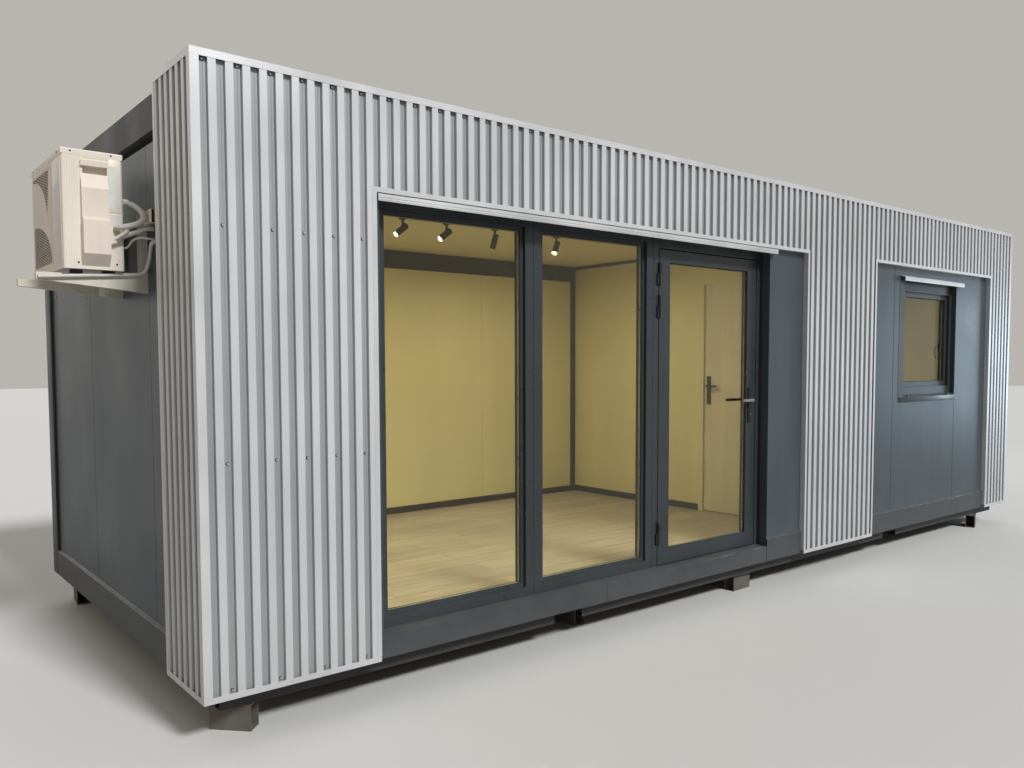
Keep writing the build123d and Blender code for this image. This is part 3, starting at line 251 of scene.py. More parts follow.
# Base frame, posts and ring beams: welded steel channels and tubes, which carry everything else.
# Sprayed anthracite, satin, a little uneven where the spray overlapped.
frame_paint = Finish(
    "frame_paint", (0.026, 0.022, 0.022), 0.45, patch=(3.0, 0.12), grain=(300.0, 0.00005), dust=0.15,
)
finish_nodes(frame_paint, "base_rails", "cross_members", "posts", "ring_beams")

# Floor: boards on the cross members, and light oak planks clicked together over them.
# The planks are about 190 mm wide and run along the cabin, each with its own tone and grain.
boards = Finish("floor_boards", (0.3, 0.2, 0.11), 0.75, patch=(5.0, 0.2), dust=0.5)
finish_nodes(boards, "floor_deck")

PLANK_LENGTH, PLANK_WIDTH, PLANK_SEAM = 1.285, 0.192, 0.0024
oak = Finish("oak_planks", (0.5, 0.36, 0.2), 0.38, patch=(2.5, 0.05), streak=(4.0, 0.0), dust=0.12)
planks = add_node(
    oak.tree, "TexBrick", {"offset": 0.37, "squash": 1.0}, Vector=oak.place, Scale=1.0,
    Color1=(0.25, 0.25, 0.25, 1), Color2=(0.8, 0.8, 0.8, 1), Mortar=(0, 0, 0, 1),
    Mortar_Size=PLANK_SEAM, Mortar_Smooth=0.2, Bias=0.0, Brick_Width=PLANK_LENGTH, Row_Height=PLANK_WIDTH,
)
along = stretched(oak.tree, oak.place, (1.6, 26, 26))
fibre = add_node(oak.tree, "TexNoise", Vector=along, Scale=1.6, Detail=8.0, Roughness=0.62).outputs["Fac"]
broad = stretched(oak.tree, oak.place, (0.9, 7, 7))
figure = add_node(oak.tree, "TexNoise", Vector=broad, Scale=1.4, Detail=3.0, Distortion=1.2).outputs["Fac"]
fibre_share = ranged(oak.tree, fibre, (0.35, 0.7), (0.0, 1.0))
light_oak = mixed(oak.tree, fibre_share, (0.43, 0.37, 0.34, 1), (0.3, 0.25, 0.22, 1))
figure_share = ranged(oak.tree, figure, (0.3, 0.7), (0.0, 0.7))
pale_oak = mixed(oak.tree, figure_share, light_oak, (0.48, 0.43, 0.4, 1))
oak_tone = ranged(oak.tree, planks.outputs["Color"], (0.0, 1.0), (0.78, 1.16))
oak_toned = add_node(oak.tree, "HueSaturation", Color=pale_oak, Value=oak_tone).outputs[0]
oak.paint(mixed(oak.tree, planks.outputs["Fac"], oak_toned, (0.16, 0.12, 0.09, 1)))
oak.relief(planks.outputs["Fac"], -0.0008)
oak.relief(fibre, 0.0002)
finish_nodes(oak, "laminate_floor")

# Roof: insulated panels on the ring beams, light grey above and cream below, where they are the ceiling.
# The panels lie side by side and are held by screws through the raised ribs.
roof = Finish("roof_sheet", (0.5, 0.51, 0.52), 0.45, patch=(1.2, 0.1), dust=0.6)
under = add_node(roof.tree, "SeparateXYZ", Vector=roof.normal).outputs["Z"]
ceiling_share = ranged(roof.tree, under, (-0.4, -0.6), (0.0, 1.0))
roof.paint(mixed(roof.tree, ceiling_share, roof.toned.outputs[0], (0.7, 0.64, 0.45, 1)))
finish_nodes(roof, "roof_panels")


def add_round(shape, start, end, radius, tip=None, segments=24):
    """A round bar between two points, tapered where a tip radius is given."""
    start, end = Vector(start), Vector(end)
    turn = (end - start).to_track_quat("Z", "Y").to_matrix().to_4x4()
    place = Matrix.Translation((start + end) / 2) @ turn
    return bmesh.ops.create_cone(
        shape, cap_ends=True, cap_tris=False, segments=segments, radius1=radius,
        radius2=radius if tip is None else tip, depth=(end - start).length, matrix=place,
    )["verts"]


def soften(shape, width, segments=2):
    """Rounds every edge that is there so far."""
    bmesh.ops.bevel(
        shape, geom=shape.edges[:], offset=width, segments=segments, profile=0.5,
        affect="EDGES", material=-1, clamp_overlap=True,
    )


def add_screw(shape, place, out, radius):
    """A hexagon-headed screw on its washer."""
    place, out = Vector(place), Vector(out)
    washer_top = place + out * radius * 0.25
    add_round(shape, place, washer_top, radius, radius * 0.9, segments=12)
    add_round(shape, washer_top, place + out * radius * 0.8, radius * 0.55, radius * 0.5, segments=6)


screw_steel = Finish("screw_steel", (0.42, 0.43, 0.44), 0.35, metallic=0.8, patch=(60.0, 0.2), dust=0.1)
RIB_STEP, SCREW_ROWS, ROW_STEP = 1.0, 7, 0.38
roof_low, roof_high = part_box("roof_panels")
shape = bmesh.new()
rib_x = roof_low.x + RIB_STEP
while rib_x < roof_high.x - RIB_STEP / 2:
    for row in range(SCREW_ROWS):
        add_screw(shape, (rib_x, roof_low.y + 0.28 + row * ROW_STEP, roof_high.z), (0, 0, 1), 0.009)
    rib_x += RIB_STEP
finish_piece("roof_screws", shape, screw_steel)

# Roof edge, base flashing, reveals and sills: folded anthracite sheet, 0.6 mm steel in a satin coating.
# They are fixed with small painted rivets, and the flashing's lengths meet in narrow joints.
# The roof edge has a darker and duller coating than the rest.
dark_sheet = Finish(
    "anthracite_sheet", (0.052, 0.061, 0.068), 0.38, patch=(2.2, 0.1), streak=(9.0, 0.06),
    grain=(420.0, 0), dust=0.18,
)
dark_sheet.shader.inputs["Specular IOR Level"].default_value = 0.35
dark_sheet.relief(dark_sheet.marks["Patches"], 0.0015)
finish_nodes(dark_sheet, "base_flashing", "window_lining")
fascia_sheet = Finish(
    "fascia_sheet", (0.026, 0.029, 0.031), 0.45, patch=(2.2, 0.1), streak=(9.0, 0.06), dust=0.15,
)
fascia_sheet.shader.inputs["Specular IOR Level"].default_value = 0.25
finish_nodes(fascia_sheet, "roof_fascia")

# Corner covers: an upright folded angle at each back corner, level with the face of the flashing.
# They close the ends of the wall panels and of the flashing's lengths.
flashing_low, flashing_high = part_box("base_flashing")
wall_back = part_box("back_wall")[1].y
COVER_LEG, COVER_STEP = 0.14, 0.0166
cover_foot = flashing_low.z + 0.0005
cover_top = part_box("roof_fascia")[0].z + 0.002
cover_back = flashing_high.y - 0.0004
shape = bmesh.new()
for outer, inward in ((flashing_low.x - 0.0006, 1), (flashing_high.x + 0.0006, -1)):
    wall_side = outer + inward * COVER_STEP
    low_x, high_x = sorted((outer, wall_side))
    add_bar(shape, (low_x, cover_back - COVER_LEG, cover_foot), (high_x, cover_back, cover_top))
    low_x, high_x = sorted((wall_side, wall_side + inward * COVER_LEG))
    add_bar(shape, (low_x, wall_back - 0.0002, flashing_high.z), (high_x, cover_back, cover_top))
soften(shape, 0.0015)
finish_piece("corner_covers", shape, dark_sheet)

# Fold of the flashing: the bend along its top is painted lighter, with patches of bare zinc colour, partly
# as worn coating and partly as a painted highlight along the edge.
# Painted rivets above the fold hold the sheet to the walls at the sides and the back.
FOLD_RADIUS = 0.0012
# The fold's coat is lighter than the flashing's own: a painted highlight along the bend.
fold_wear_and_highlight = Finish(
    "worn_fold_and_highlight", (0.1, 0.12, 0.135), 0.3, metallic=0.2, patch=(7.0, 0.3), grain=(400.0, 0), dust=0.1,
)
wear_and_highlight_cloud = add_node(fold_wear_and_highlight.tree, "TexNoise", Vector=fold_wear_and_highlight.place, Scale=11.0, Detail=6.0)
wear_and_highlight_share = ranged(fold_wear_and_highlight.tree, wear_and_highlight_cloud.outputs["Fac"], (0.5, 0.62), (0.0, 0.8))
# Pale zinc patches on the fold: partly wear of the coating, partly painted highlight.
fold_wear_and_highlight.paint(mixed(fold_wear_and_highlight.tree, wear_and_highlight_share, fold_wear_and_highlight.toned.outputs[0], (0.6, 0.61, 0.62, 1)))
fold_z = flashing_high.z - 0.012
low_fold_z = fold_z - 0.05
side_start, side_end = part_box("cladding_returns")[1].y + 0.004, flashing_high.y - COVER_LEG
folds, rivets = bmesh.new(), bmesh.new()
for start, end, level in ((2.96, 3.985, low_fold_z), (4.03, 4.46, fold_z), (5.48, 7.63, fold_z)):
    fold_start = (clad_left + start, flashing_low.y, level)
    add_round(folds, fold_start, (clad_left + end, flashing_low.y, level), FOLD_RADIUS, segments=8)
for face_x, out_x in ((flashing_low.x, -1), (flashing_high.x, 1)):
    add_round(folds, (face_x, side_start, fold_z), (face_x, side_end, fold_z), FOLD_RADIUS, segments=8)
    for step in range(6):
        place = Vector((face_x - out_x * 0.008, side_start + 0.12 + step * 0.46, fold_z + 0.006))
        add_round(rivets, place, place + Vector((out_x * 0.0012, 0, 0.0016)), 0.0045, 0.003, segments=12)
for step in range(17):
    place = Vector((flashing_low.x + 0.25 + step * 0.472, flashing_high.y - 0.008, fold_z + 0.006))
    add_round(rivets, place, place + Vector((0, 0.0012, 0.0016)), 0.0045, 0.003, segments=12)
finish_piece("flashing_folds", folds, fold_wear_and_highlight)
finish_piece("flashing_rivets", rivets, dark_sheet)

# Wall panels: insulated panels in dark grey-blue steel, with a fine upright profile pressed in the sheet.
# They stand side by side in a groove at their foot, and their joints show as narrow upright lines.
panel = Finish(
    "anthracite_panel", (0.056, 0.073, 0.089), 0.34, patch=(1.3, 0.08), streak=(12.0, 0.08),
    grain=(500.0, 0), dust=0.2,
)
place_parts = add_node(panel.tree, "SeparateXYZ", Vector=panel.place)
across = maths(panel.tree, "ADD", place_parts.outputs["X"], place_parts.outputs["Y"])
wall_line = add_node(panel.tree, "CombineXYZ", X=across)
lines = add_node(
    panel.tree, "TexWave", {"wave_type": "BANDS", "bands_direction": "X", "wave_profile": "SIN"},
    Vector=wall_line.outputs[0], Scale=26.0, Distortion=0.0,
)
# The grooves of the fine profile are painted darker: painted shade in the grooves.
groove_shade = ranged(panel.tree, lines.outputs["Fac"], (0.0, 0.35), (0.22, 0.0))
panel.paint(mixed(panel.tree, groove_shade, panel.toned.outputs[0], (0.02, 0.026, 0.032, 1)))
panel.relief(lines.outputs["Fac"], 0.0002)
panel.relief(panel.marks["Patches"], 0.001)
finish_nodes(
    panel, "left_wall", "right_wall", "back_wall",
    "front_wall_left", "front_wall_header", "front_wall_right",
)

# Linings, partition and ceiling joints: cream coated panels, joined edge to edge with a hairline gap.
# The steel skin is nearly smooth and shows soft waves in raking light.
lining = Finish("cream_lining", (0.72, 0.665, 0.43), 0.48, patch=(1.1, 0.04), streak=(5.0, 0.03), dust=0.1)
finish_nodes(lining, "wall_linings", "window_wall_lining", "partition", "inner_door_frame")

LINING_DEPTH, LINING_WIDTH, JOINT_WIDTH = 0.06, 1.16, 0.0016
room_low, room_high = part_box("wall_linings")
lining_y = room_high.y - LINING_DEPTH
shape = bmesh.new()
# Each joint is drawn as a thin dark strip on the lining: painted shade of its hairline gap.
for step in range(1, 7):
    joint_x = room_low.x + LINING_DEPTH + step * LINING_WIDTH
    joint_foot = (joint_x, lining_y - 0.0006, room_low.z + LINING_DEPTH)
    add_bar(shape, joint_foot, (joint_x + JOINT_WIDTH, lining_y, room_high.z))
joint_shade_finish = Finish("painted_joint_shade", (0.3, 0.27, 0.2), 0.7, patch=(8.0, 0.1), dust=0.1)
finish_piece("lining_joints", shape, joint_shade_finish)

# Battens: sawn timber strips that hold the ribbed sheets off the wall.
# The fibres run along each batten.
timber = Finish("sawn_timber", (0.36, 0.25, 0.14), 0.8, patch=(30.0, 0.2), grain=(220.0, 0.001))
finish_nodes(timber, "battens")

# Ribbed cladding: silver coated steel sheets, roll-formed into upright ribs and screwed to the battens.
# The coating holds fine metal flakes, so it is brighter where it faces the light.
silver = Finish(
    "silver_sheet", (0.66, 0.675, 0.69), 0.42, metallic=0.35, patch=(1.4, 0.05), streak=(10.0, 0.05),
    grain=(600.0, 0), dust=0.2,
)


def paint_valley_shade(finish, axis, crest, valley):
    """Painted shade in the valleys of the ribs, darker by depth behind the crests and patchy along the
    streaks.
    """
    depth = add_node(finish.tree, "SeparateXYZ", Vector=finish.place).outputs[axis]
    cloud = ranged(finish.tree, finish.marks["Streaks"], (0.3, 0.7), (0.8, 1.0))
    share = maths(finish.tree, "MULTIPLY", ranged(finish.tree, depth, (crest, valley), (0.0, 0.62)), cloud)
    finish.paint(mixed(finish.tree, share, finish.toned.outputs[0], (0.2, 0.2, 0.2, 1)))


silver_left = Finish(
    "silver_left", (0.66, 0.67, 0.675), 0.42, metallic=0.35, patch=(1.4, 0.05), streak=(10.0, 0.05),
    grain=(600.0, 0), dust=0.2,
)
# The valleys of the front sheets and of the left returns are painted darker: painted shade in the hollows
# of the ribs.
paint_valley_shade(silver, "Y", clad_front + 0.002, clad_front + 0.009)
paint_valley_shade(silver_left, "X", clad_left + 0.002, clad_left + 0.009)
finish_nodes(silver, "cladding_piers", "cladding_headers")
finish_nodes(silver_left, "cladding_returns")

# Swage and screws: the rollers leave a low swage along the middle of each valley of the silver sheets.
# Zinc-coated screws with black rubber washers go through the valleys into the battens, in four rows.
RIB_PITCH = 0.0728468
VALLEY_MIDDLE = 0.0535
VALLEY_DEPTH = 0.018
along_front = add_node(silver.tree, "SeparateXYZ", Vector=silver.place).outputs["X"]
ribs_along = maths(silver.tree, "DIVIDE", maths(silver.tree, "SUBTRACT", along_front, clad_left), RIB_PITCH)
in_rib = maths(silver.tree, "FRACT", ribs_along, 0.0)
from_swage = maths(silver.tree, "SUBTRACT", in_rib, VALLEY_MIDDLE / RIB_PITCH)
off_swage = maths(silver.tree, "ABSOLUTE", from_swage, 0.0)
swage = ranged(silver.tree, off_swage, (0.09, 0.04), (0.0, 1.0))
silver.relief(swage, 0.0013)

# Start, end and head of each opening in the cladding, and how near to it no screw goes in.
glazed = (0.85, 4.47, 2.227)
small = (5.47, 7.64, 2.233)
OPENING_EDGE = 0.02
shape, washers = bmesh.new(), bmesh.new()
for level, ribs in (
    (0.035, range(1, 110, 3)), (1.006, (1, *range(4, 110, 2))), (2.003, (1, *range(4, 110, 2))),
    (2.662, range(0, 110, 2)),
):
    for rib in ribs:
        across = VALLEY_MIDDLE + rib * RIB_PITCH
        hidden = any(
            start - OPENING_EDGE < across < end + OPENING_EDGE and level < head
            for start, end, head in (glazed, small)
        )
        if not hidden:
            place = Vector((clad_left + across, clad_front + VALLEY_DEPTH, clad_foot + level))
            washer_face = place - Vector((0, 0.0014, 0))
            add_round(washers, place, washer_face, 0.0074, 0.0066, segments=12)
            add_round(shape, washer_face, place - Vector((0, 0.0065, 0)), 0.0052, 0.0046, segments=6)
zinc = Finish("zinc_screw", (0.6, 0.61, 0.62), 0.3, metallic=0.7, patch=(60.0, 0.2), dust=0.05)
finish_piece("cladding_screws", shape, zinc)
rubber = Finish("black_rubber", (0.022, 0.022, 0.022), 0.65, patch=(20.0, 0.15), dust=0.1)
finish_piece("screw_washers", washers, rubber)

# Cladding trims and cap: folded strips of the same silver steel, riveted over the cut edges of the sheets.
# A rivet with a domed head sits at each corner of an opening and at the feet of the corner trims.
silver_trim = Finish(
    "silver_trim", (0.7, 0.715, 0.73), 0.38, metallic=0.4, patch=(2.0, 0.05), streak=(8.0, 0.04),
    grain=(600.0, 0), dust=0.2,
)
silver_trim.relief(silver_trim.marks["Patches"], 0.001)
finish_nodes(silver_trim, "cladding_cap", "cladding_trims")


def add_rivet(shape, place, out, radius):
    """A domed rivet head."""
    place, out = Vector(place), Vector(out)
    rim_top = place + out * radius * 0.3
    add_round(shape, place, rim_top, radius, radius * 0.92, segments=12)
    add_round(shape, rim_top, place + out * radius * 0.6, radius * 0.92, radius * 0.45, segments=12)


RIVET_RADIUS, TRIM_MIDDLE = 0.004, 0.011
rivet_y = trims_low.y + 0.0019
shape = bmesh.new()
for start, end, head in (glazed, small):
    for across in (start - TRIM_MIDDLE, end + TRIM_MIDDLE):
        for level in (head + TRIM_MIDDLE, 0.045):
            add_rivet(shape, (clad_left + across, rivet_y, clad_foot + level), (0, -1, 0), RIVET_RADIUS)
for across in (0.012, 0.82, 8.1):
    add_rivet(shape, (clad_left + across, rivet_y, clad_foot + 0.012), (0, -1, 0), RIVET_RADIUS)
finish_piece("trim_rivets", shape, silver_trim)

# Window frames and entrance door: extruded profiles in satin anthracite, mitred and pressed together.
# Sealed panes sit in black rubber, with a grey spacer bar between the sheets of glass.
profile = Finish(
    "frame_profile", (0.032, 0.04, 0.045), 0.32, patch=(2.6, 0.06), streak=(7.0, 0.04),
    grain=(520.0, 0), dust=0.12,
)
finish_nodes(
    profile, "window_frames", "door_frame", "door_leaf", "small_window_frame", "small_window_sash"
)


def clear_glass(name, tint):
    """Glass with a faint film of dust and wiping marks, clear for the light that goes through it."""
    material = bpy.data.materials.new(name)
    material.use_nodes = True
    tree = material.node_tree
    shader = tree.nodes["Principled BSDF"]
    place = add_node(tree, "TexCoord").outputs["Object"]
    wipes = add_node(tree, "TexNoise", Vector=stretched(tree, place, (1, 1, 0.4)), Scale=5.0, Detail=6.0)
    film = wipes.outputs["Fac"]
    tree.links.new(ranged(tree, film, (0.45, 0.75), (0.0, 0.05)), shader.inputs["Roughness"])
    film_share = ranged(tree, film, (0.4, 0.8), (0.0, 0.3))
    tree.links.new(mixed(tree, film_share, tint, (0.97, 0.95, 0.9, 1)), shader.inputs["Base Color"])
    shader.inputs["Transmission Weight"].default_value = 1.0
    shader.inputs["IOR"].default_value = 1.3
    through = add_node(tree, "BsdfTransparent", Color=(0.62, 0.62, 0.57, 1))
    shadow = add_node(tree, "LightPath").outputs["Is Shadow Ray"]
    both = add_node(tree, "MixShader", Fac=shadow)
    tree.links.new(shader.outputs[0], both.inputs[1])
    tree.links.new(through.outputs[0], both.inputs[2])
    tree.links.new(both.outputs[0], tree.nodes["Material Output"].inputs["Surface"])
    return material


def add_ring(shape, low, high, width):
    """Four bars round an upright opening, from its outer edge inwards."""
    for start, end in (
        ((low[0], low[1], low[2]), (high[0], high[1], low[2] + width)),
        ((low[0], low[1], high[2] - width), (high[0], high[1], high[2])),
        ((low[0], low[1], low[2] + width), (low[0] + width, high[1], high[2] - width)),
        ((high[0] - width, low[1], low[2] + width), (high[0], high[1], high[2] - width)),
    ):
        add_bar(shape, start, end)


# Sealed panes: two sheets of clear glass, 4 mm thick, on a metal spacer bar.
# Each stands about 12 mm deep in its profile, and a rubber gasket presses on it from both sides.
PANE_SHEET, PANE_EDGE, SPACER_WIDTH, GASKET_WIDTH = 0.004, 0.0118, 0.016, 0.0045
pane_glass = clear_glass("clear_pane", (0.955, 0.945, 0.83, 1))
spacer_metal = Finish("spacer_bar", (0.34, 0.35, 0.36), 0.35, metallic=0.6, patch=(30.0, 0.1), dust=0.0)
windows_low, windows_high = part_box("window_glass")
window_spans = ((windows_low.x, clad_left + 1.8457), (clad_left + 1.9843, windows_high.x))
for name, node, body, spans in (
    ("window", "window_glass", "cabin", window_spans),
    ("door", "door_glass", "entrance_leaf", None),
    ("small_window", "small_window_glass", "cabin", None),
):
    low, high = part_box(node)
    front = high.y - (0.024 if name == "window" else 0.02) + 0.0003
    back = high.y
    panes, spacers, gaskets = bmesh.new(), bmesh.new(), bmesh.new()
    for start, end in spans or ((low.x, high.x),):
        add_bar(panes, (start, front, low.z), (end, front + PANE_SHEET, high.z))
        add_bar(panes, (start, back - PANE_SHEET, low.z), (end, back, high.z))
        add_ring(spacers, (start, front + 0.0042, low.z), (end, back - 0.0042, high.z), SPACER_WIDTH)
        left, right = start + PANE_EDGE, end - PANE_EDGE
        foot, head = low.z + PANE_EDGE, high.z - PANE_EDGE
        for near, far in ((front - 0.003, front - 0.0001), (back + 0.0001, back + 0.003)):
            add_ring(gaskets, (left, near, foot), (right, far, head), GASKET_WIDTH)
    pane = finish_piece(name + "_panes", panes, spacer_metal, body)
    pane.data.materials.clear()
    pane.data.materials.append(pane_glass)
    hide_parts(node)
    finish_piece(name + "_spacers", spacers, spacer_metal, body)
    finish_piece(name + "_gaskets", gaskets, rubber, body)

# Drain covers: small plastic caps clipped to the foot profiles of the fixed windows.
# They hide the holes through which the rain runs out.
FRAME_FACE = -1.3873
COVER_WIDTH, COVER_HEIGHT, COVER_FACE = 0.034, 0.011, -1.39
drain_z = 0.335
shape = bmesh.new()
for across in (1.1, 1.7, 2.13, 2.7):
    cover_x = clad_left + across
    cover_end = (cover_x + COVER_WIDTH, FRAME_FACE, drain_z + COVER_HEIGHT)
    add_bar(shape, (cover_x, COVER_FACE, drain_z), cover_end)
soften(shape, 0.0012)
finish_piece("drain_covers", shape, profile)

# Door fittings: black hinges and plates, and a lever on each face, brushed outside and black inside.
# A row of screws holds the door's left jamb to the post beside it.
dark_fitting = Finish("dark_fitting", (0.014, 0.015, 0.017), 0.32, patch=(12.0, 0.15), dust=0.1)
finish_nodes(dark_fitting, "door_hinge_pins", "door_hinge_knuckles", "door_plates")
shape = bmesh.new()
for step in range(8):
    level = clad_foot + 0.361 + step * 0.245
    add_screw(shape, (clad_left + 2.921, FRAME_FACE, level), (0, -1, 0), 0.0045)
finish_piece("jamb_screws", shape, dark_fitting)
brushed = Finish("brushed_steel", (0.56, 0.57, 0.58), 0.26, metallic=1.0, patch=(40.0, 0.06), dust=0.05)
finish_nodes(brushed, "inner_hinge_pins", "inner_hinge_knuckles")
lever_finish = Finish("lever_coat", (0.4, 0.41, 0.42), 0.28, metallic=0.9, patch=(40.0, 0.06), dust=0.05)
lever_depth = add_node(lever_finish.tree, "SeparateXYZ", Vector=lever_finish.place).outputs["Y"]
inside_share = ranged(lever_finish.tree, lever_depth, (-1.37, -1.36), (0.0, 1.0))
inside_coat = mixed(lever_finish.tree, inside_share, lever_finish.toned.outputs[0], (0.03, 0.03, 0.032, 1))
lever_finish.paint(inside_coat)
finish_nodes(lever_finish, "door_lever")


def add_collar(shape, centre, out, inner, outer, height, segments=32):
    """A flat ring that stands on a face."""
    centre, out = Vector(centre), Vector(out).normalized()
    aside = out.orthogonal().normalized()
    corners = [
        shape.verts.new(centre + aside * reach + out * rise)
        for reach, rise in (
            (inner, 0), (outer, 0), (outer, height * 0.7), (outer - height * 0.3, height), (inner, height),
        )
    ]
    edges = [shape.edges.new((corners[n], corners[(n + 1) % 5])) for n in range(5)]
    bmesh.ops.spin(
        shape, geom=corners + edges, cent=centre, axis=out, angle=radians(360), steps=segments,
        use_merge=True,
    )


def add_plate_screw(shape, place, out, radius):
    """A countersunk head, nearly flush."""
    place, out = Vector(place), Vector(out)
    add_round(shape, place - out * 0.001, place + out * 0.0006, radius, radius * 0.9, segments=16)


# How high the lever's axis sits over the foot of its plate, on both doors.
LEVER_RISE = 0.16
plates_low, plates_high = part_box("door_plates")
lever_x = (plates_low.x + plates_high.x) / 2
lever_z = plates_low.z + LEVER_RISE
collars, screws, cores = bmesh.new(), bmesh.new(), bmesh.new()
for face_y, out_y in ((plates_low.y + 0.005, -1), (plates_high.y - 0.005, 1)):
    add_collar(collars, (lever_x, face_y, lever_z), (0, out_y, 0), 0.0095, 0.0135, 0.004)
    add_plate_screw(screws, (lever_x, face_y, plates_high.z - 0.013), (0, out_y, 0), 0.0035)
    add_plate_screw(screws, (lever_x, face_y, plates_low.z + 0.013), (0, out_y, 0), 0.0035)
    core_y, core_z = face_y + out_y * 0.005, lever_z - 0.1
    core_face = core_y + out_y * 0.0008
    add_round(cores, (lever_x, core_y, core_z), (lever_x, core_face, core_z), 0.0055)
finish_piece("lever_collars", collars, dark_fitting, "entrance_leaf")
finish_piece("plate_screws", screws, dark_fitting, "entrance_leaf")
finish_piece("lock_cores", cores, brushed, "entrance_leaf")

# Hinge caps: turned ends on the pins of the entrance door's hinges.
# Each hinge has one pressed in at its foot and one at its head.
CAP_RADIUS, CAP_TIP, CAP_HEIGHT, HINGE_LENGTH = 0.0085, 0.005, 0.005, 0.14
shape = bmesh.new()
for level in (0.255, 1.712, 1.919):
    hinge = Vector((clad_left + 2.9645, clad_front + 0.1095, clad_foot + level))
    add_round(shape, hinge, hinge - Vector((0, 0, CAP_HEIGHT)), CAP_RADIUS, CAP_TIP)
    top = hinge + Vector((0, 0, HINGE_LENGTH))
    add_round(shape, top, top + Vector((0, 0, CAP_HEIGHT)), CAP_RADIUS, CAP_TIP)
finish_piece("hinge_caps", shape, dark_fitting)

# Head drips: bare mill-finish aluminium, folded into a strip with a lip that throws the water clear.
# Two dark lines are painted along each strip where it is folded, as painted shade in the folds, at the four
# heights below.
drip_metal = Finish(
    "drip_aluminium", (0.82, 0.83, 0.84), 0.3, metallic=0.6, patch=(3.0, 0.08), streak=(5.0, 0.05),
)
drip_height = add_node(drip_metal.tree, "SeparateXYZ", Vector=drip_metal.place).outputs["Z"]
drip_fold_shade = 0.0
for fold_level in (2.3286, 2.3401, 2.3916, 2.4031):
    from_fold = maths(drip_metal.tree, "SUBTRACT", drip_height, fold_level)
    off_fold = maths(drip_metal.tree, "ABSOLUTE", from_fold, 0.0)
    fold_shade_line = ranged(drip_metal.tree, off_fold, (0.0008, 0.0014), (0.75, 0.0))
    drip_fold_shade = maths(drip_metal.tree, "MAXIMUM", fold_shade_line, drip_fold_shade)
# The dark lines at the folds are painted shade.
drip_metal.paint(mixed(drip_metal.tree, drip_fold_shade, drip_metal.toned.outputs[0], (0.25, 0.26, 0.27, 1)))
finish_nodes(drip_metal, "head_drips")

# Small window: a wide cover strip stands at the left of its reveal, and its sill is a folded sheet.
# The sill slopes out over the wall, drops in a straight face and is screwed to the frame's foot.
lining_low, lining_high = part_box("window_lining")
wall_y = clad_front + 0.04
strip_x = clad_left + 6.017
frame_low, frame_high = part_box("small_window_frame")
shape = bmesh.new()
strip_face, strip_back = wall_y - 0.0015, wall_y - 0.0002
add_bar(shape, (clad_left + 5.931, strip_face, lining_low.z), (strip_x, strip_back, lining_high.z))
add_bar(shape, (strip_x - 0.0013, strip_back, frame_low.z + 0.03), (strip_x, frame_low.y, frame_high.z))
finish_piece("reveal_strip", shape, dark_sheet)


def push_faces(shape, faces, way):
    """Draws faces out along a way, with walls behind them."""
    pushed = bmesh.ops.extrude_face_region(shape, geom=faces)
    moved = [corner for corner in pushed["geom"] if isinstance(corner, bmesh.types.BMVert)]
    bmesh.ops.translate(shape, vec=way, verts=moved)


sill_low, sill_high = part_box("window_sill")
sill_face = wall_y - 0.006
shape = bmesh.new()
profile_places = (
    (sill_high.y, sill_high.z), (sill_face, sill_high.z - 0.017), (sill_face, sill_low.z),
    (wall_y, sill_low.z), (wall_y, sill_low.z + 0.02), (sill_high.y, sill_low.z + 0.03),
)
sill_end = shape.faces.new([shape.verts.new((sill_low.x, y, z)) for y, z in profile_places])
push_faces(shape, [sill_end], (sill_high.x - sill_low.x, 0, 0))
soften(shape, 0.0012)
sill = finish_piece("folded_sill", shape, dark_sheet)
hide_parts("window_sill")
shape = bmesh.new()
for across in (clad_left + 6.1, clad_left + 6.86):
    cover_low = (across, sill_face + 0.004, sill_high.z - 0.019)
    add_bar(shape, cover_low, (across + 0.03, sill_face + 0.018, sill_high.z - 0.004))
soften(shape, 0.002)
finish_piece("sill_covers", shape, dark_fitting)

# Handle of the small window: a plate on the sash's inner face, and a bowed grip of black plastic.
# The grip hangs from its neck and stands off the sash, into the room.
handle_low, handle_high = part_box("small_window_handle")
grip_x = (handle_low.x + handle_high.x) / 2
GRIP_RADIUS, NECK_DROP = 0.0065, 0.035
neck_z = handle_high.z - NECK_DROP
shape = bmesh.new()
plate_low = (handle_low.x, handle_low.y, neck_z - NECK_DROP)
add_bar(shape, plate_low, (handle_high.x, handle_low.y + 0.009, handle_high.z))
soften(shape, 0.002)
grip_places = [
    Vector((grip_x, y, z)) for y, z in (
        (handle_low.y + 0.006, neck_z), (handle_low.y + 0.034, neck_z + 0.002),
        (handle_high.y - 0.014, neck_z - 0.006), (handle_high.y - 0.008, neck_z - 0.026),
        (handle_high.y - 0.009, handle_low.z + 0.034), (handle_high.y - 0.018, handle_low.z + 0.006),
    )
]
for start, end in zip(grip_places, grip_places[1:]):
    add_round(shape, start, end, GRIP_RADIUS, segments=16)
    bend = Matrix.Translation(end)
    bmesh.ops.create_uvsphere(shape, u_segments=12, v_segments=8, radius=GRIP_RADIUS, matrix=bend)
handle = finish_piece("window_grip", shape, rubber)
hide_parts("small_window_handle")

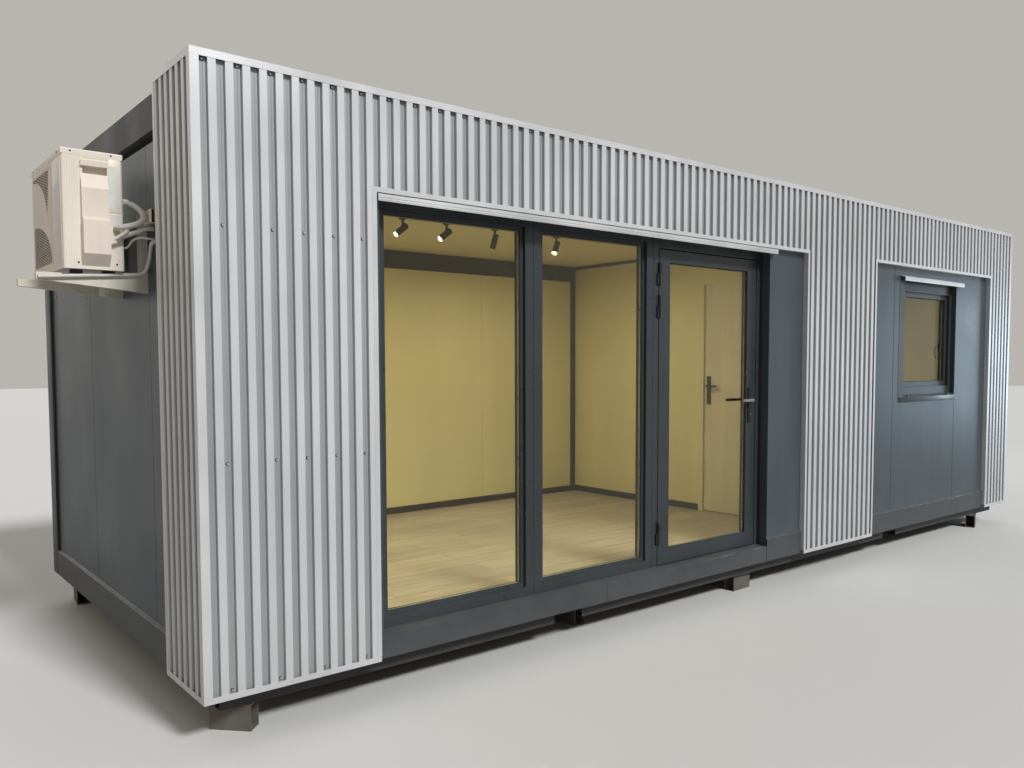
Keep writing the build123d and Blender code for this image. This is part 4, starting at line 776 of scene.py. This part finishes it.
# Inner door: a painted leaf in the partition, with a bronze-coloured plate and lever on each face.
# The plates are screwed on at both ends, over the lever's spindle and the key's hole.
leaf_paint = Finish("painted_leaf", (0.68, 0.63, 0.52), 0.4, patch=(2.0, 0.05), dust=0.1)
finish_nodes(leaf_paint, "inner_door_leaf")
bronze = Finish("bronze_coat", (0.035, 0.018, 0.006), 0.42, metallic=0.35, patch=(20.0, 0.12), dust=0.05)
finish_nodes(bronze, "inner_door_plates", "inner_door_lever")
inner_low, inner_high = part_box("inner_door_plates")
inner_y = (inner_low.y + inner_high.y) / 2
inner_z = inner_low.z + LEVER_RISE
key_z = inner_z - 0.09
collars, screws = bmesh.new(), bmesh.new()
for face_x, out_x in ((inner_low.x, -1), (inner_high.x, 1)):
    add_collar(collars, (face_x, inner_y, inner_z), (out_x, 0, 0), 0.0095, 0.0145, 0.004)
    for level in (inner_low.z + 0.013, inner_high.z - 0.013):
        add_plate_screw(screws, (face_x, inner_y, level), (out_x, 0, 0), 0.0035)
    add_round(screws, (face_x, inner_y, key_z), (face_x + out_x * 0.001, inner_y, key_z), 0.006)
finish_piece("inner_collars", collars, bronze, "inner_leaf")
finish_piece("inner_plate_screws", screws, bronze, "inner_leaf")

# Skirting and the strip along the head of the partition: dark plastic, bent round the corner.
# Both are glued to the linings and cover the joints with the floor and the ceiling.
dark_trim = Finish("dark_trim", (0.03, 0.023, 0.022), 0.5, patch=(6.0, 0.1), dust=0.04)
finish_nodes(dark_trim, "skirting", "partition_trim")

# Spotlights: dark bronze heads on short arms, each with a bright ring round its lamp.
# A canopy screws to the ceiling and the arm's knuckle lets the head lean.
lamp_body = Finish("lamp_body", (0.014, 0.011, 0.01), 0.34, metallic=0.0, patch=(30.0, 0.1), dust=0.05)
finish_nodes(lamp_body, "spotlights")
lamp_glow = bpy.data.materials.new("lamp_glow")
lamp_glow.use_nodes = True
glow_shader = lamp_glow.node_tree.nodes["Principled BSDF"]
glow_shader.inputs["Emission Strength"].default_value = 14.0
glow_place = add_node(lamp_glow.node_tree, "TexCoord").outputs["Object"]
facets = add_node(lamp_glow.node_tree, "TexVoronoi", Vector=glow_place, Scale=160.0).outputs["Distance"]
lamp_glow.node_tree.links.new(
    mixed(lamp_glow.node_tree, facets, (1.0, 0.97, 0.9, 1), (1.0, 0.85, 0.6, 1)),
    glow_shader.inputs["Emission Color"],
)
spot_line = [clad_left + place for place in (1.865, 2.22, 2.645, 2.95, 3.245)]
spot_aims = ((-52, 0), (-53, 0), (0, -24), (-52, 0), (-31, 14))
spot_y = clad_front + 1.4
ARM_DROP, HEAD_REACH, ELBOW_RADIUS = 0.076, 0.07, 0.009
ceiling = roof_low.z
elbow = ceiling - ARM_DROP
lamps, rings, knuckles = bmesh.new(), bmesh.new(), bmesh.new()
for x, (lean, forward) in zip(spot_line, spot_aims):
    beam = Vector((tan(radians(lean)), -tan(radians(forward)), -1)).normalized()
    mouth = Vector((x, spot_y, elbow)) + beam * HEAD_REACH
    add_round(lamps, mouth - beam * 0.0055, mouth - beam * 0.003, 0.0172, 0.0168, segments=40)
    add_collar(rings, mouth, beam, 0.0182, 0.0222, 0.0015, segments=40)
    for ridge in (-0.1, -0.094, -0.088):
        add_collar(knuckles, mouth + beam * ridge, beam, 0.0215, 0.023, 0.0025)
    aside = beam.cross(Vector((0, 1, 0))).normalized()
    turning = beam.cross(aside).normalized()
    hub = Vector((x, spot_y, elbow + 0.022))
    add_round(knuckles, hub - turning * ELBOW_RADIUS, hub + turning * ELBOW_RADIUS, ELBOW_RADIUS)
    add_collar(knuckles, (x, spot_y, ceiling - 0.014), (0, 0, -1), 0.009, 0.02, 0.003)
lamp_piece = finish_piece("spot_lamps", lamps, lamp_body)
lamp_piece.data.materials.clear()
lamp_piece.data.materials.append(lamp_glow)
finish_piece("spot_rings", rings, brushed)
finish_piece("spot_knuckles", knuckles, lamp_body)

# Cooling unit: an ivory steel casing on two brackets outside the left wall.
# A plastic cover hides its valves, and a wire guard covers the fan on the far side.
ivory = Finish("ivory_casing", (0.8, 0.74, 0.63), 0.42, patch=(3.0, 0.05), streak=(9.0, 0.04), dust=0.25)
finish_nodes(ivory, "unit_casing")
ivory_plastic = Finish(
    "ivory_plastic", (0.78, 0.69, 0.59), 0.5, patch=(5.0, 0.04), grain=(900.0, 0.0002), dust=0.2,
)
finish_nodes(ivory_plastic, "unit_guard", "unit_cover")
bracket_coat = Finish("ivory_bracket", (0.68, 0.64, 0.54), 0.45, patch=(7.0, 0.1), dust=0.35)
finish_nodes(bracket_coat, "unit_brackets")
finish_nodes(rubber, "unit_feet")

casing_low, casing_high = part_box("unit_casing")
casing_left, casing_end = casing_low.x + 0.001, casing_low.y + 0.001
shape = bmesh.new()
for crease in range(6):
    crease_x = casing_left + 0.014 + crease * 0.0095
    crease_foot = (crease_x, casing_end - 0.0012, casing_low.z + 0.03)
    add_bar(shape, crease_foot, (crease_x + 0.003, casing_end + 0.001, 2.555))
soften(shape, 0.0008, 1)
add_bar(shape, (-4.1, casing_end - 0.0015, 2.285), (-4.086, casing_end + 0.001, 2.556))
add_bar(shape, (-4.1, casing_end - 0.0015, 2.556), (-3.978, casing_end + 0.001, 2.562))
finish_piece("casing_creases", shape, ivory)

shape = bmesh.new()
add_bar(shape, (-3.979, casing_end - 0.003, 2.322), (-3.926, casing_end, 2.562))
add_bar(shape, (casing_left - 0.0025, -0.777, 2.095), (casing_left, -0.612, 2.55))
soften(shape, 0.0015)
finish_piece("service_plates", shape, ivory)

# Bare plates: thin pale films on the casing, smooth and empty.
# They are glued on, two on the service plate, one under it and one on the column beside the fan.
plate_film = Finish("bare_plate", (0.72, 0.71, 0.67), 0.4, patch=(30.0, 0.05), dust=0.1)
shape = bmesh.new()
for low_z, high_z in ((2.412, 2.53), (2.338, 2.408)):
    add_bar(shape, (-3.975, casing_end - 0.0036, low_z), (-3.931, casing_end - 0.003, high_z))
add_bar(shape, (-3.974, casing_end - 0.0008, 2.262), (-3.934, casing_end, 2.312))
add_bar(shape, (casing_left - 0.0032, -0.767, 2.282), (casing_left - 0.0024, -0.625, 2.441))
finish_piece("bare_plates", shape, plate_film)

shape = bmesh.new()
for line in range(9):
    line_z = 2.119 + line * 0.0125
    add_bar(shape, (casing_left - 0.0034, -0.767, line_z), (casing_left - 0.002, -0.625, line_z + 0.007))
soften(shape, 0.0007, 1)
finish_piece("column_louvres", shape, ivory)

shape = bmesh.new()
for place_x, place_z in ((-4.135, 2.578), (-3.965, 2.578), (-4.112, 2.086), (-3.95, 2.086)):
    add_rivet(shape, (place_x, casing_low.y, place_z), (0, -1, 0), 0.0045)
for place_y in (-0.72, -0.2):
    add_rivet(shape, (casing_low.x, place_y, 2.578), (-1, 0, 0), 0.0045)
finish_piece("casing_screws", shape, dark_fitting)

# Fan guard: a moulded lattice with a smooth leaf-shaped blade across it, over the fan.
# A rim holds the lattice's flat bars, and the black fan sits in its ring behind them.
LATTICE_TURN, LATTICE_PITCH, LATTICE_HALF_BAR, RIM_WIDTH = 14, 0.0125, 0.0014, 0.012
guard_low, guard_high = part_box("unit_guard")
shape = bmesh.new()
middle_y, middle_z = (guard_low.y + guard_high.y) / 2, (guard_low.z + guard_high.z) / 2
bar_low = (guard_low.x + 0.0004, -0.4, -LATTICE_HALF_BAR)
bar_high = (guard_low.x + 0.0012, 0.4, LATTICE_HALF_BAR)
for turn in (LATTICE_TURN, -LATTICE_TURN):
    around = Matrix.Translation((0, middle_y, middle_z)) @ Matrix.Rotation(radians(turn), 4, "X")
    for row in range(-27, 28):
        bar = add_bar(shape, bar_low, bar_high)
        place = around @ Matrix.Translation((0, 0, row * LATTICE_PITCH))
        bmesh.ops.transform(shape, matrix=place, verts=bar)
for place, way in (
    ((0, guard_low.y + 0.008, 0), (0, -1, 0)), ((0, guard_high.y - 0.008, 0), (0, 1, 0)),
    ((0, 0, guard_low.z + 0.008), (0, 0, -1)), ((0, 0, guard_high.z - 0.008), (0, 0, 1)),
):
    cut = shape.verts[:] + shape.edges[:] + shape.faces[:]
    bmesh.ops.bisect_plane(shape, geom=cut, plane_co=place, plane_no=way, clear_outer=True)
    bmesh.ops.holes_fill(shape, edges=[edge for edge in shape.edges if edge.is_boundary])
finish_piece("guard_lattice", shape, ivory_plastic)

guard_width, guard_height = guard_high.y - guard_low.y, guard_high.z - guard_low.z


def on_guard(across, down):
    """A place on the guard, by shares of its width from the far side and of its height from the top."""
    return guard_low.x - 0.0004, guard_high.y - across * guard_width, guard_high.z - down * guard_height


quarter = [radians(90 * step / 12) for step in range(13)]
border = [on_guard(0.02 + 0.7 * sin(turn), 0.5 - 0.44 * cos(turn)) for turn in quarter]
border += [on_guard(0.8, 0.3), on_guard(0.84, 0.04), on_guard(0.97, 0.02), on_guard(0.97, 0.98)]
border += [on_guard(0.05 + 0.87 * sin(turn), 0.98 - 0.44 * cos(turn)) for turn in reversed(quarter)]
border += [on_guard(0.02, 0.54)]
shape = bmesh.new()
outline = shape.faces.new([shape.verts.new(place) for place in border])
push_faces(shape, [outline], (0.003, 0, 0))
finish_piece("guard_leaf", shape, ivory_plastic)

shape = bmesh.new()
for low, high in (
    ((guard_low.y, guard_low.z), (guard_high.y, guard_low.z + RIM_WIDTH)),
    ((guard_low.y, guard_high.z - RIM_WIDTH), (guard_high.y, guard_high.z)),
    ((guard_low.y, guard_low.z + RIM_WIDTH), (guard_low.y + RIM_WIDTH, guard_high.z - RIM_WIDTH)),
    ((guard_high.y - RIM_WIDTH, guard_low.z + RIM_WIDTH), (guard_high.y, guard_high.z - RIM_WIDTH)),
):
    add_bar(shape, (guard_low.x, *low), (guard_high.x, *high))
rim = finish_piece("guard_rim", shape, ivory_plastic)
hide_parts("unit_guard")

shape = bmesh.new()
hub = Vector((guard_high.x - 0.0008, middle_y, middle_z))
# A flat dark backing fills the guard behind the fan: painted shade of the deep housing. The fan's ring, hub
# and vanes are its own black.
shade_backing_low = (hub.x, guard_low.y + 0.004, guard_low.z + 0.004)
add_bar(shape, shade_backing_low, (hub.x + 0.0006, guard_high.y - 0.004, guard_high.z - 0.004))
add_collar(shape, hub, (-1, 0, 0), 0.195, 0.205, 0.0007, segments=64)
add_round(shape, hub, hub - Vector((0.0007, 0, 0)), 0.05, 0.04)
for blade in range(3):
    vane = add_bar(shape, (-0.0005, -0.05, 0.045), (-0.0001, 0.05, 0.19))
    around = Matrix.Translation(hub) @ Matrix.Rotation(radians(blade * 120 + 20), 4, "X")
    bmesh.ops.transform(shape, matrix=around, verts=vane)
finish_piece("fan", shape, rubber)

# Coil: upright aluminium fins in the casing's open back, with thin rails across them.
# They are pressed on the tubes of the coil and stand close together.
FIN_PITCH, FIN_SHEET, RAIL_STEP = 0.0095, 0.0012, 0.08
aluminium = Finish(
    "bare_aluminium", (0.82, 0.83, 0.84), 0.3, metallic=0.6, patch=(3.0, 0.08), streak=(5.0, 0.05),
)
shape = bmesh.new()
for fin in range(60):
    fin_y = casing_low.y + 0.05 + fin * FIN_PITCH
    fin_foot = (casing_high.x - 0.001, fin_y, casing_low.z + 0.04)
    add_bar(shape, fin_foot, (casing_high.x + 0.001, fin_y + FIN_SHEET, 2.54))
for rail in range(7):
    rail_z = casing_low.z + 0.05 + rail * RAIL_STEP
    rail_start = (casing_high.x + 0.0005, casing_low.y + 0.045, rail_z)
    add_bar(shape, rail_start, (casing_high.x + 0.002, casing_high.y - 0.03, rail_z + 0.003))
finish_piece("coil_fins", shape, aluminium)

# Pipes of the cooling unit: copper in white foam sleeves, a cable and a grey drain hose.
# They leave the casing behind its cover and go into the wall through a short duct.
def add_pipe(name, places, radius, finish):
    """A bent pipe or hose whose middle follows a smooth line, its places from the cladding's corner."""
    line = bpy.data.curves.new(name, "CURVE")
    line.dimensions = "3D"
    line.bevel_depth = radius
    line.bevel_resolution = 5
    line.use_fill_caps = True
    route = line.splines.new("NURBS")
    route.points.add(len(places) - 1)
    for point, (x, y, z) in zip(route.points, places):
        point.co = (clad_left + x, clad_front + y, clad_foot + z, 1)
    route.order_u = 3
    route.use_endpoint_u = True
    route.resolution_u = 8
    line.materials.append(finish.material)
    piece = bpy.data.objects.new(name, line)
    scene.collection.objects.link(piece)
    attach(piece, "cabin")
    return piece


sleeve = Finish("pipe_sleeve", (0.66, 0.65, 0.6), 0.7, patch=(25.0, 0.12), grain=(150.0, 0.003), dust=0.3)
thick_route = (
    (-0.073, 0.742, 2.178), (-0.044, 0.742, 2.178), (-0.014, 0.702, 2.155), (0.002, 0.655, 2.118),
    (-0.008, 0.652, 2.084), (-0.046, 0.66, 2.064), (-0.108, 0.68, 2.05), (-0.108, 0.715, 2.05),
)
thin_route = (
    (0.04, 0.655, 2.056), (0.012, 0.655, 2.056), (-0.018, 0.672, 2.04), (-0.062, 0.682, 2.025),
    (-0.094, 0.684, 2.006), (-0.094, 0.715, 2.006),
)
cable_route = (
    (0.04, 0.618, 2.003), (0.014, 0.618, 2.003), (-0.018, 0.65, 2.012), (-0.046, 0.69, 2.0),
    (-0.054, 0.735, 1.966), (-0.073, 0.735, 1.966),
)
add_pipe("thick_pipe", thick_route, 0.013, sleeve)
add_pipe("thin_pipe", thin_route, 0.011, sleeve)
add_pipe("unit_cable", cable_route, 0.005, sleeve)
duct_low = (clad_left + 0.018, clad_front + 0.606, clad_foot + 2.078)
duct_high = (clad_left + 0.04, clad_front + 0.742, clad_foot + 2.142)
shape = bmesh.new()
add_bar(shape, duct_low, duct_high)
ends = [face for face in shape.faces if face.normal.y < -0.9]
bmesh.ops.inset_region(shape, faces=ends, thickness=0.002)
push_faces(shape, ends, (0, 0.1, 0))
bmesh.ops.delete(shape, geom=ends, context="FACES")
duct = finish_piece("pipe_duct", shape, ivory_plastic)
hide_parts("unit_pipes")

shape = bmesh.new()
for valve_z, radius in ((2.378, 0.014), (2.25, 0.012)):
    start = Vector((clad_left - 0.073, casing_low.y + 0.02, valve_z))
    add_round(shape, start, start + Vector((0.026, 0, 0)), radius + 0.0008)
soften(shape, 0.0015)
finish_piece("pipe_collars", shape, sleeve)

shape = bmesh.new()
stub_start = (clad_left - 0.125, clad_front + 0.68, clad_foot + 1.995)
stub_end = (clad_left - 0.07, clad_front + 0.66, clad_foot + 2.036)
add_round(shape, stub_start, stub_end, 0.0085)
finish_piece("pipe_stub", shape, sleeve)

shape = bmesh.new()
for bracket_y in (clad_front + 0.77, clad_front + 1.2):
    wall_x = clad_left + 0.04
    for level in (2.02, 2.09, 2.3):
        add_screw(shape, (wall_x - 0.038, bracket_y, level), (-1, 0, 0), 0.008)
    for foot_x in (casing_left + 0.06, casing_high.x - 0.061):
        add_screw(shape, (foot_x, bracket_y, casing_low.z - 0.096), (0, 0, -1), 0.008)
finish_piece("bracket_bolts", shape, screw_steel)

hose_skin = Finish("grey_hose", (0.62, 0.61, 0.57), 0.5, patch=(20.0, 0.08), dust=0.2)
hose_route = (
    (0.04, 0.6, 1.99), (0.015, 0.6, 1.99), (0.022, 0.645, 1.95), (0.023, 0.682, 1.892),
    (0.016, 0.722, 1.858), (-0.012, 0.743, 1.847), (-0.064, 0.7432, 1.844), (-0.43, 0.7432, 1.815),
)
hose = add_pipe("drain_hose_line", hose_route, 0.009, hose_skin)
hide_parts("drain_hose")

# Floor of the studio: one plain pale disc, which keeps the cabin's shadow.
# It is darker to light that bounces off it, so that the foot of the cabin isn't lit from below.
floor_finish = Finish(
    "studio_floor", (0.66, 0.655, 0.64), 0.8, patch=(0.5, 0.008), streak=(1.0, 0.0), grain=(90.0, 0),
    dust=0.0, gloss=0,
)
shape = bmesh.new()
bmesh.ops.create_circle(shape, cap_ends=True, segments=96, radius=60)
mesh = bpy.data.meshes.new("studio_floor")
shape.to_mesh(mesh)
shape.free()
floor_seen = add_node(floor_finish.tree, "LightPath").outputs["Is Camera Ray"]
floor_bounce = (0.36, 0.355, 0.35, 1)
floor_finish.paint(mixed(floor_finish.tree, floor_seen, floor_bounce, floor_finish.toned.outputs[0]))
mesh.materials.append(floor_finish.material)
floor = bpy.data.objects.new("studio_floor", mesh)
scene.collection.objects.link(floor)

# Sky and lamps of the studio: an even, faintly warm sky, brighter where it is seen or mirrored.
# A main lamp stands in front, weak wide ones at the left and behind, a cool soft box past the right end.
BACKDROP_LIFT, SKY_LEVEL = 0.26, 0.22
world = bpy.data.worlds.new("studio_sky")
world.use_nodes = True
sky = world.node_tree
paths = add_node(sky, "LightPath").outputs
mirrored = maths(sky, "MAXIMUM", paths["Is Glossy Ray"], paths["Is Transmission Ray"])
seen = maths(sky, "MAXIMUM", paths["Is Camera Ray"], mirrored)
backdrop = maths(sky, "MULTIPLY", seen, BACKDROP_LIFT)
shown = maths(sky, "ADD", backdrop, SKY_LEVEL)
sky.links.new(shown, sky.nodes["Background"].inputs["Strength"])
sky.nodes["Background"].inputs["Color"].default_value = (1.0, 0.958, 0.895, 1)
scene.world = world

for name, turn, strength, width, tint in (
    ("key_lamp", (radians(50), 0, radians(6)), 2.75, 10, (0.97, 0.985, 1.0)),
    ("left_lamp", (radians(62), 0, radians(262)), 0.31, 60, (1.0, 0.79, 0.6)),
    ("back_lamp", (radians(55), 0, radians(172)), 0.7, 60, (1, 1, 1)),
):
    lamp_data = bpy.data.lights.new(name, "SUN")
    lamp_data.color = tint
    lamp_data.energy = strength
    lamp_data.angle = radians(width)
    lamp = bpy.data.objects.new(name, lamp_data)
    lamp.rotation_euler = turn
    scene.collection.objects.link(lamp)

soft_data = bpy.data.lights.new("soft_box", "AREA")
soft_data.shape = "RECTANGLE"
soft_data.size = 3.2
soft_data.size_y = 2.6
soft_data.energy = 115
soft_data.color = (0.6, 0.83, 1.0)
soft_box = bpy.data.objects.new("soft_box", soft_data)
soft_place = Vector((13, -3.8, 1.7))
facing_cabin = (soft_place - Vector((3, -3.8, 1.7))).to_track_quat("Z", "Y").to_matrix().to_4x4()
soft_box.matrix_world = Matrix.Translation(soft_place) @ facing_cabin
soft_box.visible_camera = False
scene.collection.objects.link(soft_box)

# Lamps in the room: warm light from under the ceiling, as the spotlights give.
# Three discs, two in the large room and one behind the partition, which aren't seen themselves.
for x, y, power in ((-2.4, 0.1, 24), (-0.4, 0.1, 13), (2.6, 0.1, 8)):
    lamp_data = bpy.data.lights.new("room_lamp", "AREA")
    lamp_data.shape = "DISK"
    lamp_data.size = 0.9
    lamp_data.energy = power
    lamp_data.color = (1.0, 0.89, 0.66)
    lamp = bpy.data.objects.new("room_lamp", lamp_data)
    lamp.location = (x, y, 2.45)
    lamp.visible_camera = False
    lamp.visible_glossy = False
    lamp.visible_transmission = False
    scene.collection.objects.link(lamp)

scene.view_settings.view_transform = "Standard"
